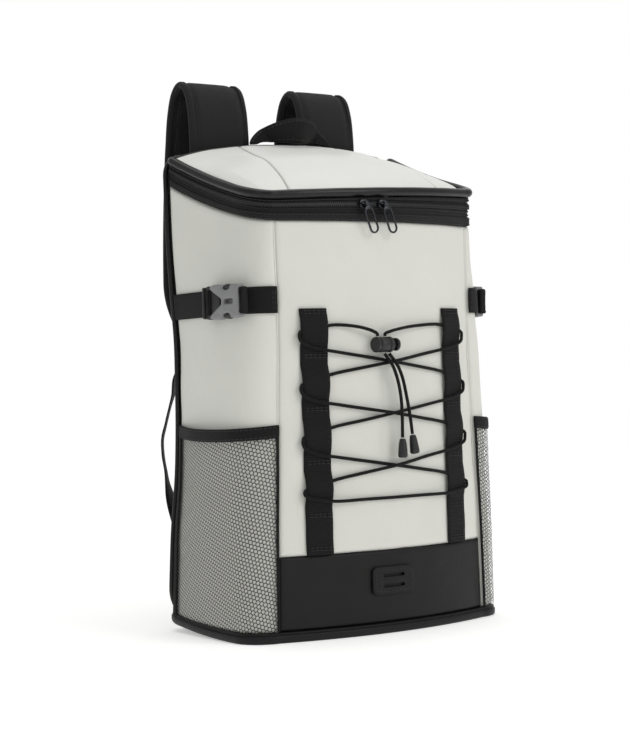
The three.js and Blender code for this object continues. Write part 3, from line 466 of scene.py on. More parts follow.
def frames(points, hint=(0, 0, 1)):
    """Two directions square to a line, carried along it without twist."""
    ahead = tangents(points)
    side = np.zeros_like(points)
    start = np.asarray(hint, float)
    for i, t in enumerate(ahead):
        start = start - t * np.dot(start, t)
        start = start / max(1e-9, np.linalg.norm(start))
        side[i] = start
    return side, np.cross(ahead, side)


def tube(name, points, radius, material, sides=14, hint=(0, 0, 1)):
    """A round tube; radius may change along it."""
    side, other = frames(points, hint)
    turn = np.linspace(0, 2 * math.pi, sides, endpoint=False)
    radius = np.broadcast_to(np.asarray(radius, float), len(points))[:, None, None]
    sections = points[:, None] + radius * (np.cos(turn)[None, :, None] * side[:, None]
                                           + np.sin(turn)[None, :, None] * other[:, None])
    run = lengths_of(points)[:, None]
    around = np.concatenate([turn, [2 * math.pi]])[None] * radius[..., 0]
    cloth = np.stack([around, run + 0 * around, 0 * around], axis=-1)
    return sweep(name, sections, material, cloth)


def strip(name, outer, inner, material):
    """A flat strip between two grids of points, rows along and columns across."""
    rim = 0.28
    middle = 0.5 * (outer + inner)
    outer = outer.copy()
    inner = inner.copy()
    for end in (0, -1):
        outer[:, end] = middle[:, end] + rim * 2 * (outer[:, end] - middle[:, end])
        inner[:, end] = middle[:, end] + rim * 2 * (inner[:, end] - middle[:, end])
    sections = np.concatenate([outer, inner[:, ::-1]], axis=1)
    u = cloth_place(outer)[..., 0]
    v = np.broadcast_to(lengths_of(outer[:, outer.shape[1] // 2])[:, None], u.shape)
    face = np.stack([u, v, 0 * u], axis=-1)
    back = np.stack([u, v, 0 * u + 1], axis=-1)[:, ::-1]
    cloth = np.concatenate([face, back, face[:, :1]], axis=1)
    return sweep(name, sections, material, cloth)


def ribbon(name, points, across, width, thickness, material, columns=7):
    """A flat strip of one width along a line; across is the direction of its width."""
    across = unit(np.broadcast_to(np.asarray(across, float), points.shape))
    face = unit(np.cross(tangents(points), across))
    places = np.linspace(-0.5, 0.5, columns)
    width = np.broadcast_to(np.asarray(width, float), len(points))[:, None, None]
    middle = points[:, None] + across[:, None] * places[None, :, None] * width
    lift = face[:, None] * thickness / 2
    return strip(name, middle + lift, middle - lift, material)


def lathe(name, profile, material, origin, axis, sides=40):
    """A turned piece: profile rows are (distance along the axis, radius)."""
    axis = unit(np.asarray(axis, float))
    side = unit(np.cross(axis, [0, 0, 1] if abs(axis[2]) < 0.9 else [1, 0, 0]))
    other = np.cross(axis, side)
    turn = np.linspace(0, 2 * math.pi, sides, endpoint=False)
    sections = [np.asarray(origin) + axis * h + max(r, 1e-4) * (np.cos(turn)[:, None] * side
                + np.sin(turn)[:, None] * other) for h, r in profile]
    obj = sweep(name, sections, material)
    obj.data.set_sharp_from_angle(angle=math.radians(50))
    return obj


def rounded(corners, radius):
    """A closed outline with its corners rounded."""
    pts = np.asarray(corners, float)
    count = len(pts)
    radii = radius if isinstance(radius, (list, tuple)) else [radius] * count
    outline = []
    for i in range(count):
        here, before, after = pts[i], pts[i - 1], pts[(i + 1) % count]
        a = unit(before - here)
        b = unit(after - here)
        reach = min(radii[i], 0.49 * np.linalg.norm(before - here), 0.49 * np.linalg.norm(after - here))
        for t in np.linspace(0, 1, 6):
            outline.append((1 - t) ** 2 * (here + a * reach) + 2 * t * (1 - t) * here + t * t * (here + b * reach))
    return np.asarray(outline)


def box_outline(x0, x1, z0, z1):
    return [(x0, z0), (x1, z0), (x1, z1), (x0, z1)]


def plate(name, outline, holes, thickness, bevel, matrix, material):
    """A moulded plate from an outline with holes, its edges rounded; matrix is in millimetres."""
    curve = bpy.data.curves.new(name, "CURVE")
    curve.dimensions = "2D"
    curve.fill_mode = "BOTH"
    curve.extrude = (thickness / 2 - bevel) * MM
    curve.bevel_depth = bevel * MM
    curve.bevel_resolution = 2
    curve.offset = -bevel * MM
    for loop in [outline, *holes]:
        spline = curve.splines.new("POLY")
        spline.points.add(len(loop) - 1)
        for point, (x, y) in zip(spline.points, loop):
            point.co = (x * MM, y * MM, 0, 1)
        spline.use_cyclic_u = True
    carrier = bpy.data.objects.new(name, curve)
    bpy.context.scene.collection.objects.link(carrier)
    mesh = bpy.data.meshes.new_from_object(carrier.evaluated_get(bpy.context.evaluated_depsgraph_get()))
    bpy.data.objects.remove(carrier)
    bpy.data.curves.remove(curve)
    mesh.name = name
    scaled = matrix.copy()
    scaled.translation = matrix.translation * MM
    mesh.transform(scaled)
    mesh.materials.clear()
    mesh.materials.append(material)
    obj = bpy.data.objects.new(name, mesh)
    bpy.context.scene.collection.objects.link(obj)
    weld(obj)
    mesh.polygons.foreach_set("use_smooth", [True] * len(mesh.polygons))
    mesh.set_sharp_from_angle(angle=math.radians(35))
    return obj


def merged(name, parts):
    """One object from several; they share their materials."""
    first = parts[0]
    work = bmesh.new()
    materials = []
    for part in parts:
        start = len(work.faces)
        work.from_mesh(part.data)
        work.faces.ensure_lookup_table()
        material = part.data.materials[0]
        if material not in materials:
            materials.append(material)
        for face in work.faces[start:]:
            face.material_index = materials.index(material)
    for part in parts[1:]:
        bpy.data.objects.remove(part)
    work.to_mesh(first.data)
    work.free()
    first.data.materials.clear()
    for material in materials:
        first.data.materials.append(material)
    first.name = name
    first.data.name = name
    return first


def stitches(name, lines, thread=None):
    """Stitches of thread along lines of points that lie on the cloth."""
    length = size_mm("stitch")
    step = length + size_mm("stitch_gap")
    radius = (thread or size_mm("thread")) / 2
    turn = np.linspace(0, 2 * math.pi, 5, endpoint=False)
    points = []
    faces = []
    for line in lines:
        run = lengths_of(line)
        for start in np.arange(step / 2, run[-1] - length, step):
            at = start + np.array([0, 0.18, 0.82, 1]) * length
            middle = np.stack([np.interp(at, run, line[:, k]) for k in range(3)], axis=-1)
            side, other = frames(middle, (0.3, 0.2, 1))
            first = len(points)
            for centre, s, o, share in zip(middle, side, other, (0.35, 1, 1, 0.35)):
                points.extend(centre + radius * share * (math.cos(t) * s + math.sin(t) * o) for t in turn)
            for row in range(3):
                for i in range(5):
                    a = first + row * 5 + i
                    b = first + row * 5 + (i + 1) % 5
                    faces.append((a, b, b + 5, a + 5))
            faces.append(tuple(first + i for i in range(5))[::-1])
            faces.append(tuple(first + 15 + i for i in range(5)))
    return place(mesh_object(name, points, faces, finish("thread")), "bag", "black_webbing")


def settle(obj):
    """Puts what the modifiers do into the mesh."""
    graph = bpy.context.evaluated_depsgraph_get()
    shaped = bpy.data.meshes.new_from_object(obj.evaluated_get(graph))
    old = obj.data
    name = old.name
    obj.modifiers.clear()
    obj.data = shaped
    bpy.data.meshes.remove(old)
    shaped.name = name


def puffed(obj, voxel, pressure, cap, end=20):
    """Swells a closed pad by a short cloth simulation, no point further than cap from its start."""
    remesh = obj.modifiers.new("Remesh", "REMESH")
    remesh.mode = "VOXEL"
    remesh.voxel_size = voxel * MM
    settle(obj)
    start = np.empty(len(obj.data.vertices) * 3)
    obj.data.vertices.foreach_get("co", start)
    cloth = obj.modifiers.new("Cloth", "CLOTH")
    cloth.settings.use_pressure = True
    cloth.settings.uniform_pressure_force = pressure
    cloth.settings.effector_weights.gravity = 0
    cloth.settings.tension_stiffness = 18
    cloth.settings.bending_stiffness = 1.5
    cloth.point_cache.frame_end = end
    for step in range(1, end + 1):
        bpy.context.scene.frame_set(step)
    settle(obj)
    bpy.context.scene.frame_set(1)
    moved = np.empty_like(start)
    obj.data.vertices.foreach_get("co", moved)
    shift = (moved - start).reshape(-1, 3)
    far = np.linalg.norm(shift, axis=1, keepdims=True)
    shift *= np.minimum(1, cap * MM / np.maximum(far, 1e-9))
    obj.data.vertices.foreach_set("co", (start.reshape(-1, 3) + shift).ravel())
    smooth = obj.modifiers.new("Smooth", "SMOOTH")
    smooth.factor = 0.5
    smooth.iterations = 4
    divide = obj.modifiers.new("Divide", "SUBSURF")
    divide.levels = 1
    settle(obj)
    obj.data.polygons.foreach_set("use_smooth", [True] * len(obj.data.polygons))
    return obj


# Finishes


class Term:
    """A node's output that can stand in a sum; each operation adds a Math node."""

    def __init__(self, shade, socket):
        self.shade = shade
        self.socket = socket

    def other(self, output):
        """Another output of the same node."""
        return Term(self.shade, self.socket.node.outputs[output])

    def math(self, operation, *values):
        sockets = {i: value for i, value in enumerate(values)}
        return self.shade.node("ShaderNodeMath", {"operation": operation}, sockets)

    def __add__(self, value):
        return self.math("ADD", self, value)

    __radd__ = __add__

    def __sub__(self, value):
        return self.math("SUBTRACT", self, value)

    def __rsub__(self, value):
        return self.math("SUBTRACT", value, self)

    def __mul__(self, value):
        return self.math("MULTIPLY", self, value)

    __rmul__ = __mul__

    def __truediv__(self, value):
        return self.math("DIVIDE", self, value)

    def __gt__(self, value):
        return self.math("GREATER_THAN", self, value)

    def wave(self, pitch):
        """From -1 to 1 and back over each pitch."""
        return self.math("SINE", self * (2 * math.pi / pitch))

    def size(self):
        return self.math("ABSOLUTE", self)


class Shade:
    """One finish's node tree."""

    def __init__(self, name):
        self.material = bpy.data.materials.new(name)
        self.material.use_nodes = True
        self.tree = self.material.node_tree
        self.tree.nodes.clear()

    def node(self, kind, settings=None, sockets=None, output=0):
        """Makes a node, sets it, then fills its sockets with values or links."""
        made = self.tree.nodes.new(kind)
        for key, value in (settings or {}).items():
            if key == "stops":
                ramp = made.color_ramp.elements
                while len(ramp) < len(value):
                    ramp.new(1)
                for element, (position, colour) in zip(ramp, value):
                    element.position = position
                    element.color = colour
            else:
                setattr(made, key, value)
        for key, value in (sockets or {}).items():
            if isinstance(value, Term):
                self.tree.links.new(value.socket, made.inputs[key])
            else:
                made.inputs[key].default_value = value
        return Term(self, made.outputs[output]) if made.outputs else None

    def object_mm(self):
        """The place on the object in millimetres."""
        at = self.node("ShaderNodeTexCoord", output="Object")
        return self.node("ShaderNodeVectorMath", {"operation": "SCALE"}, {0: at, "Scale": 1000.0})

    def cloth_mm(self):
        """Millimetres across and along the cloth."""
        at = self.node("ShaderNodeAttribute", {"attribute_name": "cloth"}, output="Vector")
        return self.node("ShaderNodeSeparateXYZ", {}, {0: at})

    def noise(self, at, scale, detail=2.0, distortion=0.0):
        return self.node("ShaderNodeTexNoise", {}, {"Vector": at, "Scale": scale, "Detail": detail,
                                                    "Distortion": distortion})

    def tint(self, amount, low, high):
        """A colour between two, by an amount."""
        return self.node("ShaderNodeMix", {"data_type": "RGBA"}, {0: amount, 6: low, 7: high}, 2)

    def bump(self, height, distance, strength=1.0):
        return self.node("ShaderNodeBump", {}, {"Height": height, "Distance": distance * MM,
                                                "Strength": strength}, "Normal")

    def surface(self, colour, roughness, normal, constants=None):
        sockets = {"Base Color": colour, "Roughness": roughness, "Normal": normal}
        sockets.update(constants or {})
        bsdf = self.node("ShaderNodeBsdfPrincipled", {}, sockets, "BSDF")
        self.node("ShaderNodeOutputMaterial", {}, {"Surface": bsdf})
        return self.material


def scaled(colour, factor):
    return tuple(min(1.0, c * factor) for c in colour) + (1.0,)


def panel_cloth(name, colour, rough):
    """Coated light cloth over foam."""
    shade = Shade(name)
    at = shade.object_mm()
    grain = shade.noise(at, 1.9, 3)
    cloud = shade.noise(at, 0.016, 3)
    crumple = shade.noise(at, 0.045, 4, 0.6)
    base = shade.tint(cloud, scaled(colour, 0.95), scaled(colour, 1.03))
    height = grain * 0.12 + crumple * 1.3
    return shade.surface(base, grain * 0.12 + (rough - 0.06), shade.bump(height, 0.55),
                         {"Sheen Weight": 0.08, "Specular IOR Level": 0.4})


def satin_cloth(name, colour, rough):
    """Coated black cloth with a soft shine."""
    shade = Shade(name)
    at = shade.object_mm()
    grain = shade.noise(at, 1.5, 3)
    cloud = shade.noise(at, 0.03, 3, 0.4)
    base = shade.tint(cloud, scaled(colour, 0.85), scaled(colour, 1.2))
    height = grain * 0.25 + cloud * 1.6
    return shade.surface(base, grain * 0.14 + (rough - 0.07), shade.bump(height, 0.5),
                         {"Specular IOR Level": 0.2})


def woven_cloth(name, colour, rough):
    """Plain woven black cloth."""
    shade = Shade(name)
    at = shade.object_mm()
    grain = shade.noise(at, 0.9, 2)
    parts = shade.node("ShaderNodeSeparateXYZ", {}, {0: at})
    slant = parts.other("X") + parts.other("Y") * 0.6
    weave = slant.wave(1.5) * parts.other("Z").wave(1.5)
    cloud = shade.noise(at, 0.025, 2)
    # The colour is partly painted shade: it darkens with the weave's and grain's bump, in their hollows. The broad
    # noise adds tone that differs at random.
    mask = weave * 0.3 + grain * 0.5 + cloud * 0.2
    base = shade.tint(mask, scaled(colour, 0.62), scaled(colour, 1.45))
    return shade.surface(base, rough - weave * 0.06, shade.bump(weave * 0.5 + grain * 0.6, 0.35),
                         {"Sheen Weight": 0.06, "Sheen Roughness": 0.45, "Specular IOR Level": 0.25})


def webbing_cloth(name, colour, rough, grid=False):
    """Woven webbing: ribs across it, or a grid."""
    shade = Shade(name)
    cloth = shade.cloth_mm()
    u = cloth.other("X")
    v = cloth.other("Y")
    rib = v.wave(size_mm("rib"))
    if grid:
        height = rib * u.wave(size_mm("rib"))
    else:
        height = rib * 0.75 + (u + v * 0.5).wave(1.25) * 0.3
    grain = shade.noise(shade.object_mm(), 1.6, 2)
    # Painted shade: the colour follows the bump's height, darker in the grooves between the ribs and in the grain's
    # hollows.
    base = shade.tint(height * 0.35 + grain * 0.5 + 0.1, scaled(colour, 0.5), scaled(colour, 1.9))
    return shade.surface(base, rough - grain * 0.15, shade.bump(height * 0.5 + grain * 0.4, 0.5),
                         {"Sheen Weight": 0.02, "Sheen Roughness": 0.4, "Specular IOR Level": 0.2})


def braided_cord(name, colour, rough):
    """Round braided cord."""
    shade = Shade(name)
    cloth = shade.cloth_mm()
    u = cloth.other("X")
    v = cloth.other("Y")
    braid = (v + u * 1.2).wave(2.4) * (v - u * 1.2).wave(2.4)
    grain = shade.noise(shade.object_mm(), 1.8, 2)
    # Painted shade: the colour follows the braid's and grain's bump, darker in their hollows.
    base = shade.tint(braid * 0.4 + grain * 0.5, scaled(colour, 0.6), scaled(colour, 1.8))
    return shade.surface(base, rough - grain * 0.1, shade.bump(braid + grain * 0.4, 0.3),
                         {"Sheen Weight": 0.02, "Specular IOR Level": 0.2})


def air_mesh(name, colour, rough):
    """Spacer mesh with small round cells."""
    shade = Shade(name)
    cloth = shade.node("ShaderNodeAttribute", {"attribute_name": "cloth"}, output="Vector")
    cells = shade.node("ShaderNodeTexVoronoi", {"voronoi_dimensions": "2D"},
                       {"Vector": cloth, "Scale": 0.42, "Randomness": 0.15}, "Distance")
    grain = shade.noise(shade.object_mm(), 1.2, 2)
    # Painted shade: the colour darkens with the cells' bump and is darkest in the hollow middle of each cell.
    base = shade.tint(cells * 1.4, scaled(colour, 0.35), scaled(colour, 1.5))
    return shade.surface(base, rough - grain * 0.1, shade.bump(cells * 1.4 + grain * 0.3, 0.8),
                         {"Sheen Weight": 0.06, "Specular IOR Level": 0.25})


def gloss_piping(name, colour, rough):
    """Coated piping with a faint leather grain."""
    shade = Shade(name)
    at = shade.object_mm()
    grain = shade.node("ShaderNodeTexVoronoi", {}, {"Vector": at, "Scale": 0.75}, "Distance")
    cloud = shade.noise(at, 0.06, 3)
    base = shade.tint(cloud, scaled(colour, 0.8), scaled(colour, 1.3))
    return shade.surface(base, cloud * 0.14 + (rough - 0.05), shade.bump(grain * 0.3 + cloud * 0.8, 0.35),
                         {"Specular IOR Level": 0.3, "Coat Weight": 0.08, "Coat Roughness": 0.15})


def moulded_plastic(name, colour, rough):
    """Spark-eroded plastic, paler where it is rubbed."""
    shade = Shade(name)
    at = shade.object_mm()
    grain = shade.noise(at, 2.4, 3)
    cloud = shade.noise(at, 0.12, 3)
    base = shade.tint(grain * 0.6 + cloud * 0.4, scaled(colour, 0.78), scaled(colour, 1.25))
    return shade.surface(base, grain * 0.2 + (rough - 0.1), shade.bump(grain, 0.16),
                         {"Specular IOR Level": 0.5})


def cast_metal(name, colour, rough):
    """Plated zinc with fine scratches."""
    shade = Shade(name)
    at = shade.object_mm()
    scratch = shade.noise(at, 1.4, 5, 1.5)
    cloud = shade.noise(at, 0.15, 2)
    base = shade.tint(cloud, scaled(colour, 0.8), scaled(colour, 1.3))
    return shade.surface(base, scratch * 0.22 + (rough - 0.08), shade.bump(scratch, 0.06), {"Metallic": 0.95})


def spun_thread(name, colour, rough):
    """Twisted sewing thread."""
    shade = Shade(name)
    at = shade.object_mm()
    parts = shade.node("ShaderNodeSeparateXYZ", {}, {0: at})
    twist = (parts.other("X") + parts.other("Y") + parts.other("Z")).wave(0.6)
    # Painted shade: the colour follows the twist's bump, darker in its grooves.
    base = shade.tint(twist * 0.5 + 0.5, scaled(colour, 0.7), scaled(colour, 1.3))
    return shade.surface(base, rough + twist * 0.04, shade.bump(twist, 0.08))


def studio_floor(name, colour, rough):
    """Matt pale floor."""
    shade = Shade(name)
    at = shade.object_mm()
    cloud = shade.noise(at, 0.004, 2)
    base = shade.tint(cloud, scaled(colour, 0.99), scaled(colour, 1.0))
    return shade.surface(base, cloud * 0.05 + rough, shade.bump(cloud, 0.01),
                         {"Emission Color": (1.0, 1.0, 1.0, 1.0), "Emission Strength": 0.38})


def bright_card(name, colour, rough):
    """Evenly lit white card."""
    shade = Shade(name)
    glow = shade.node("ShaderNodeEmission", {}, {"Color": colour + (1.0,), "Strength": 1.0})
    shade.node("ShaderNodeOutputMaterial", {}, {"Surface": glow})
    return shade.material


FINISHES = {
    "light_panels": (panel_cloth, 0.5),
    "lid_cloth": (panel_cloth, 0.46),
    "satin_black": (satin_cloth, 0.45),
    "black_cloth": (woven_cloth, 0.82),
    "black_webbing": (webbing_cloth, 0.8),
    "black_net": (woven_cloth, 0.8),
    "piping_gloss": (gloss_piping, 0.28),
    "dark_plastic": (moulded_plastic, 0.4),
    "buckle_plastic": (moulded_plastic, 0.48),
    "gunmetal": (cast_metal, 0.24),
    "thread": (spun_thread, 0.7),
    "floor": (studio_floor, 0.9),
    "card": (bright_card, 1.0),
    "grid_webbing": (lambda name, colour, rough: webbing_cloth(name, colour, rough, True), 0.8),
    "cord": (braided_cord, 0.75),
    "air_mesh": (air_mesh, 0.85),
}
BORROWED = {"grid_webbing": "black_webbing", "cord": "black_webbing", "air_mesh": "black_cloth"}


def finish(name):
    """The material of a finish, made when it is first asked for."""
    known = bpy.data.materials.get("finish_" + name)
    if known:
        return known
    maker, rough = FINISHES[name]
    colour = getattr(bpy.context.scene.backpack_colours, BORROWED.get(name, name))
    return maker("finish_" + name, tuple(colour), rough)


# Pieces


class BackpackStage(bpy.types.Operator):
    """Floor, soft studio light and the camera"""
    bl_idname = "backpack.stage"
    bl_label = "Stage and camera"

    def execute(self, context):
        scene = context.scene
        half = 4000.0
        floor = mesh_object("studio_floor", [(-half, -half, 0), (half, -half, 0), (half, half, 0), (-half, half, 0)],
                            [(0, 1, 2, 3)], finish("floor"))
        card = mesh_object("studio_card", [(-2600, 0, -1500), (2600, 0, -1500), (2600, 0, 3500), (-2600, 0, 3500)],
                           [(0, 1, 2, 3)], finish("card"))
        card.rotation_euler.z = math.radians(-36)
        card.location = (2.35, 3.24, 0)
        world = bpy.data.worlds.new("studio")
        world.use_nodes = True
        world.node_tree.nodes["Background"].inputs["Color"].default_value = (1, 1, 1, 1)
        world.node_tree.nodes["Background"].inputs["Strength"].default_value = 0.51
        scene.world = world
        scene.view_settings.view_transform = "Standard"
        self.softbox(scene, "key_light", (0.7, -2.1, 1.5), 1.3, 16)
        self.softbox(scene, "fill_light", (-2.0, -0.7, 1.3), 1.0, 2)
        self.softbox(scene, "top_light", (0.1, 0.2, 2.3), 1.8, 14)
        self.camera(scene)
        return {"FINISHED"}

    def softbox(self, scene, name, at, size, power):
        light = bpy.data.lights.new(name, "AREA")
        light.size = size
        light.energy = power
        lamp = bpy.data.objects.new(name, light)
        lamp.location = at
        aim = Vector((0, 0, 0.25)) - Vector(at)
        lamp.rotation_euler = aim.to_track_quat("-Z", "Y").to_euler()
        scene.collection.objects.link(lamp)

    def camera(self, scene):
        azimuth = math.radians(-36)
        elevation = math.radians(-0.45)
        roll = math.radians(-1.67)
        back = Vector((math.sin(azimuth) * math.cos(elevation), -math.cos(azimuth) * math.cos(elevation),
                       math.sin(elevation)))
        right = Vector((math.cos(azimuth), math.sin(azimuth), 0))
        up = back.cross(right)
        turned_right = right * math.cos(roll) + up * math.sin(roll)
        turned_up = up * math.cos(roll) - right * math.sin(roll)
        lens = bpy.data.cameras.new("photo_camera")
        lens.lens = 89.12
        lens.sensor_width = 36
        camera = bpy.data.objects.new("photo_camera", lens)
        placed = Matrix((turned_right, turned_up, back)).transposed().to_4x4()
        placed.translation = Vector((-1.07603, -1.44868, 0.23969))
        camera.matrix_world = placed
        scene.collection.objects.link(camera)
        scene.camera = camera


BEHIND = CORD_R + 0.5
INNER = WEB_X - WEB_WIDTH / 2
OUTER = WEB_X + WEB_WIDTH / 2
STRAND_END = [(INNER - 8, 8.6, "free"), (INNER + 1, 6.4, "behind"), (WEB_X, 3, "behind"), (OUTER - 1, -1.2, "behind"),
              (OUTER + 2.0, -3.6, "edge"), (OUTER + 2.1, -7.4, "edge"), (OUTER + 0.2, -11.5, "over"),
              (WEB_X + 6, -15.4, "over"), (WEB_X - 4, -18.2, "over"), (INNER - 3, -20.2, "over")]
FIRST_RISE = 0.5
LAST_DROP = 0.6
ENTRY_RISE = [(0.1, 0.28), (0.22, 0.48), (0.5, 0.79)]
LOCK_Y = float(front_y(LOCK_X, LOCK_Z, LOCK_R + 0.8))


def lacing_half(start, high):
    points = []
    sign = start
    for top in LOOPS:
        turn = []
        for x, dz, lie in STRAND_END:
            rises = top == LOOPS[0] and dz > 0
            drops = top == LOOPS[-1] and dz < 0
            z = top + dz * (FIRST_RISE if rises else LAST_DROP if drops else 1)
            over = float(web_lift(z)) + WEB_REST + WEB_THICK + GAP + CORD_R + 0.3
            out = {"free": BEHIND + 0.2, "behind": BEHIND, "edge": BEHIND + 2.6, "over": over}[lie]
            turn.append(on_front(sign * x, z, out))
        if points:
            before = points[-1]
            for share in (0.2, 0.36, 0.5, 0.64, 0.8):
                x, _, z = before * (1 - share) + turn[0] * share
                near = max(0.0, 1 - abs(share - 0.5) / 0.3)
                points.append(on_front(x, z, BEHIND + 0.4 + (2 * CORD_R + 0.5) * near * high))
        points.extend(turn)
        sign = -sign
    return points


def lacing_route():
    """The lacing from one side of the lock through the loops and back to its other side."""
    left = lacing_half(-1, False)
    right = lacing_half(1, True)
    bottom = []
    for share in (0.25, 0.5, 0.75):
        x, _, z = left[-1] * (1 - share) + right[-1] * share
        bottom.append(on_front(x, z, BEHIND + 0.4))
    top = LOCK_Z + LOCK_R + GAP

    def entry(x, end):
        first, second = [np.array([x, LOCK_Y + 1, top + rise]) for rise in (0.3, 2.4)]
        run = []
        for share, rise in ENTRY_RISE:
            px = second[0] + (end[0] - second[0]) * share
            pz = second[2] + (end[2] - second[2]) * rise
            run.append(on_front(px, pz, BEHIND + 0.6 + 5 * (1 - share)))
        return [first, second, *run]

    head = entry(LOCK_X - 4, left[0])
    foot = entry(LOCK_X + 5, right[0])
    return np.array([*head, *left, *bottom, *right[::-1], *foot[::-1]])


TAILS = {
    "left": [(-13, 264.6), (-7, 254), (-2, 243), (2.2, 225), (3.3, 206), (3.0, 184.4)],
    "right": [(-7.6, 264.6), (-1.2, 254), (4.4, 243), (9.2, 224.6), (12.9, 205.5), (15.4, 187.4)],
}


class BackpackLacing(bpy.types.Operator):
    """Laced cord, its two tails with bell ends, and the cord lock"""
    bl_idname = "backpack.lacing"
    bl_label = "Lacing"

    def execute(self, context):
        cord = tube("lacing", rail(lacing_route(), spacing=2.2), CORD_R, finish("cord"), 10, (0, -1, 0))
        place(cord, "bag", "black_webbing", "lacing_cord")
        for name, route in TAILS.items():
            self.tail(name, route)
        self.lock()
        return {"FINISHED"}

    def tail(self, name, route):
        points = [on_front(x, z, LOCK_R + 0.8 if i == 0 else 11.4) for i, (x, z) in enumerate(route)]
        points[0][2] = LOCK_Z - LOCK_R - GAP - 0.9
        path = rail(points, count=34)
        down = np.array([route[-1][0] - route[-2][0], 0, route[-1][1] - route[-2][1]], float)
        down = unit(down)
        bell = lathe("bell_end_" + name, [(0, 0), (0, 2.2), (0.5, 2.8), (1.2, 3.0), (5, 3.75), (11, 4.35),
                                          (BELL_LENGTH - 3, BELL_R), (BELL_LENGTH - 1.2, BELL_R),
                                          (BELL_LENGTH - 0.3, BELL_R - 0.8), (BELL_LENGTH, BELL_R - 1.6),
                                          (BELL_LENGTH - 0.6, BELL_R - 2.2), (BELL_LENGTH - 0.8, 0)],
                     finish("dark_plastic"), points[-1] + down * (GAP + 0.6), down)
        place(bell, "bag", "dark_plastic", "cord_end_" + name)
        cord = tube("tail_" + name, path, CORD_R, finish("cord"), 12, (0, -1, 0))
        place(cord, "bag", "black_webbing", "cord_tail_" + name)

    def lock(self):
        start = np.array([LOCK_X - LOCK_LENGTH / 2, LOCK_Y, LOCK_Z])
        disc = [(2.5, 0), (2.8, 3.6), (2.8, 5.0), (2.5, 5.3), (2.5, 6.2), (2.8, 6.9), (3.3, 7.3), (3.9, LOCK_R), (5, LOCK_R),
                (5.6, 7.0), (6, 6.3), (7, 6.2), (7.5, 6.9), (8.2, 7.2), (16, 7.2), (16.8, 6.9), (17.2, 6.4),
                (17.9, 6.4), (18.3, 7.0), (19, LOCK_R), (21, LOCK_R), (21.8, 6.9), (22, 6.2), (22, 4.6), (12, 4.6),
                (12, 0)]
        body = lathe("lock_barrel", disc, finish("dark_plastic"), start, (1, 0, 0), 48)
        place(body, "bag", "dark_plastic", "cord_lock_body")
        knob = [(15.9, 0), (15.9, 4.2), (26, 4.2), (26, 5.7), (26.4, 6.1), (27, PLUNGER_R), (28.6, PLUNGER_R),
                (29.5, 5.7), (29.9, 4.8), (30, 3.6), (29.6, 3.2), (29.6, 0)]
        plunger = lathe("lock_plunger", knob, finish("piping_gloss"), start, (1, 0, 0), 48)
        place(plunger, "plunger", "dark_plastic", "cord_lock_plunger")


def soft_waves(points, size, seed):
    """Shallow hollows of a soft wall, from 0 down to minus size."""
    chance = np.random.default_rng(seed)
    total = np.zeros(points.shape[:2])
    for _ in range(5):
        wave = chance.uniform(-1, 1, 3) / chance.uniform(28, 70)
        total += np.sin(points @ wave * 2 * math.pi + chance.uniform(0, 6.28))
    return size * (np.tanh(total / 2.4) - 1) / 2


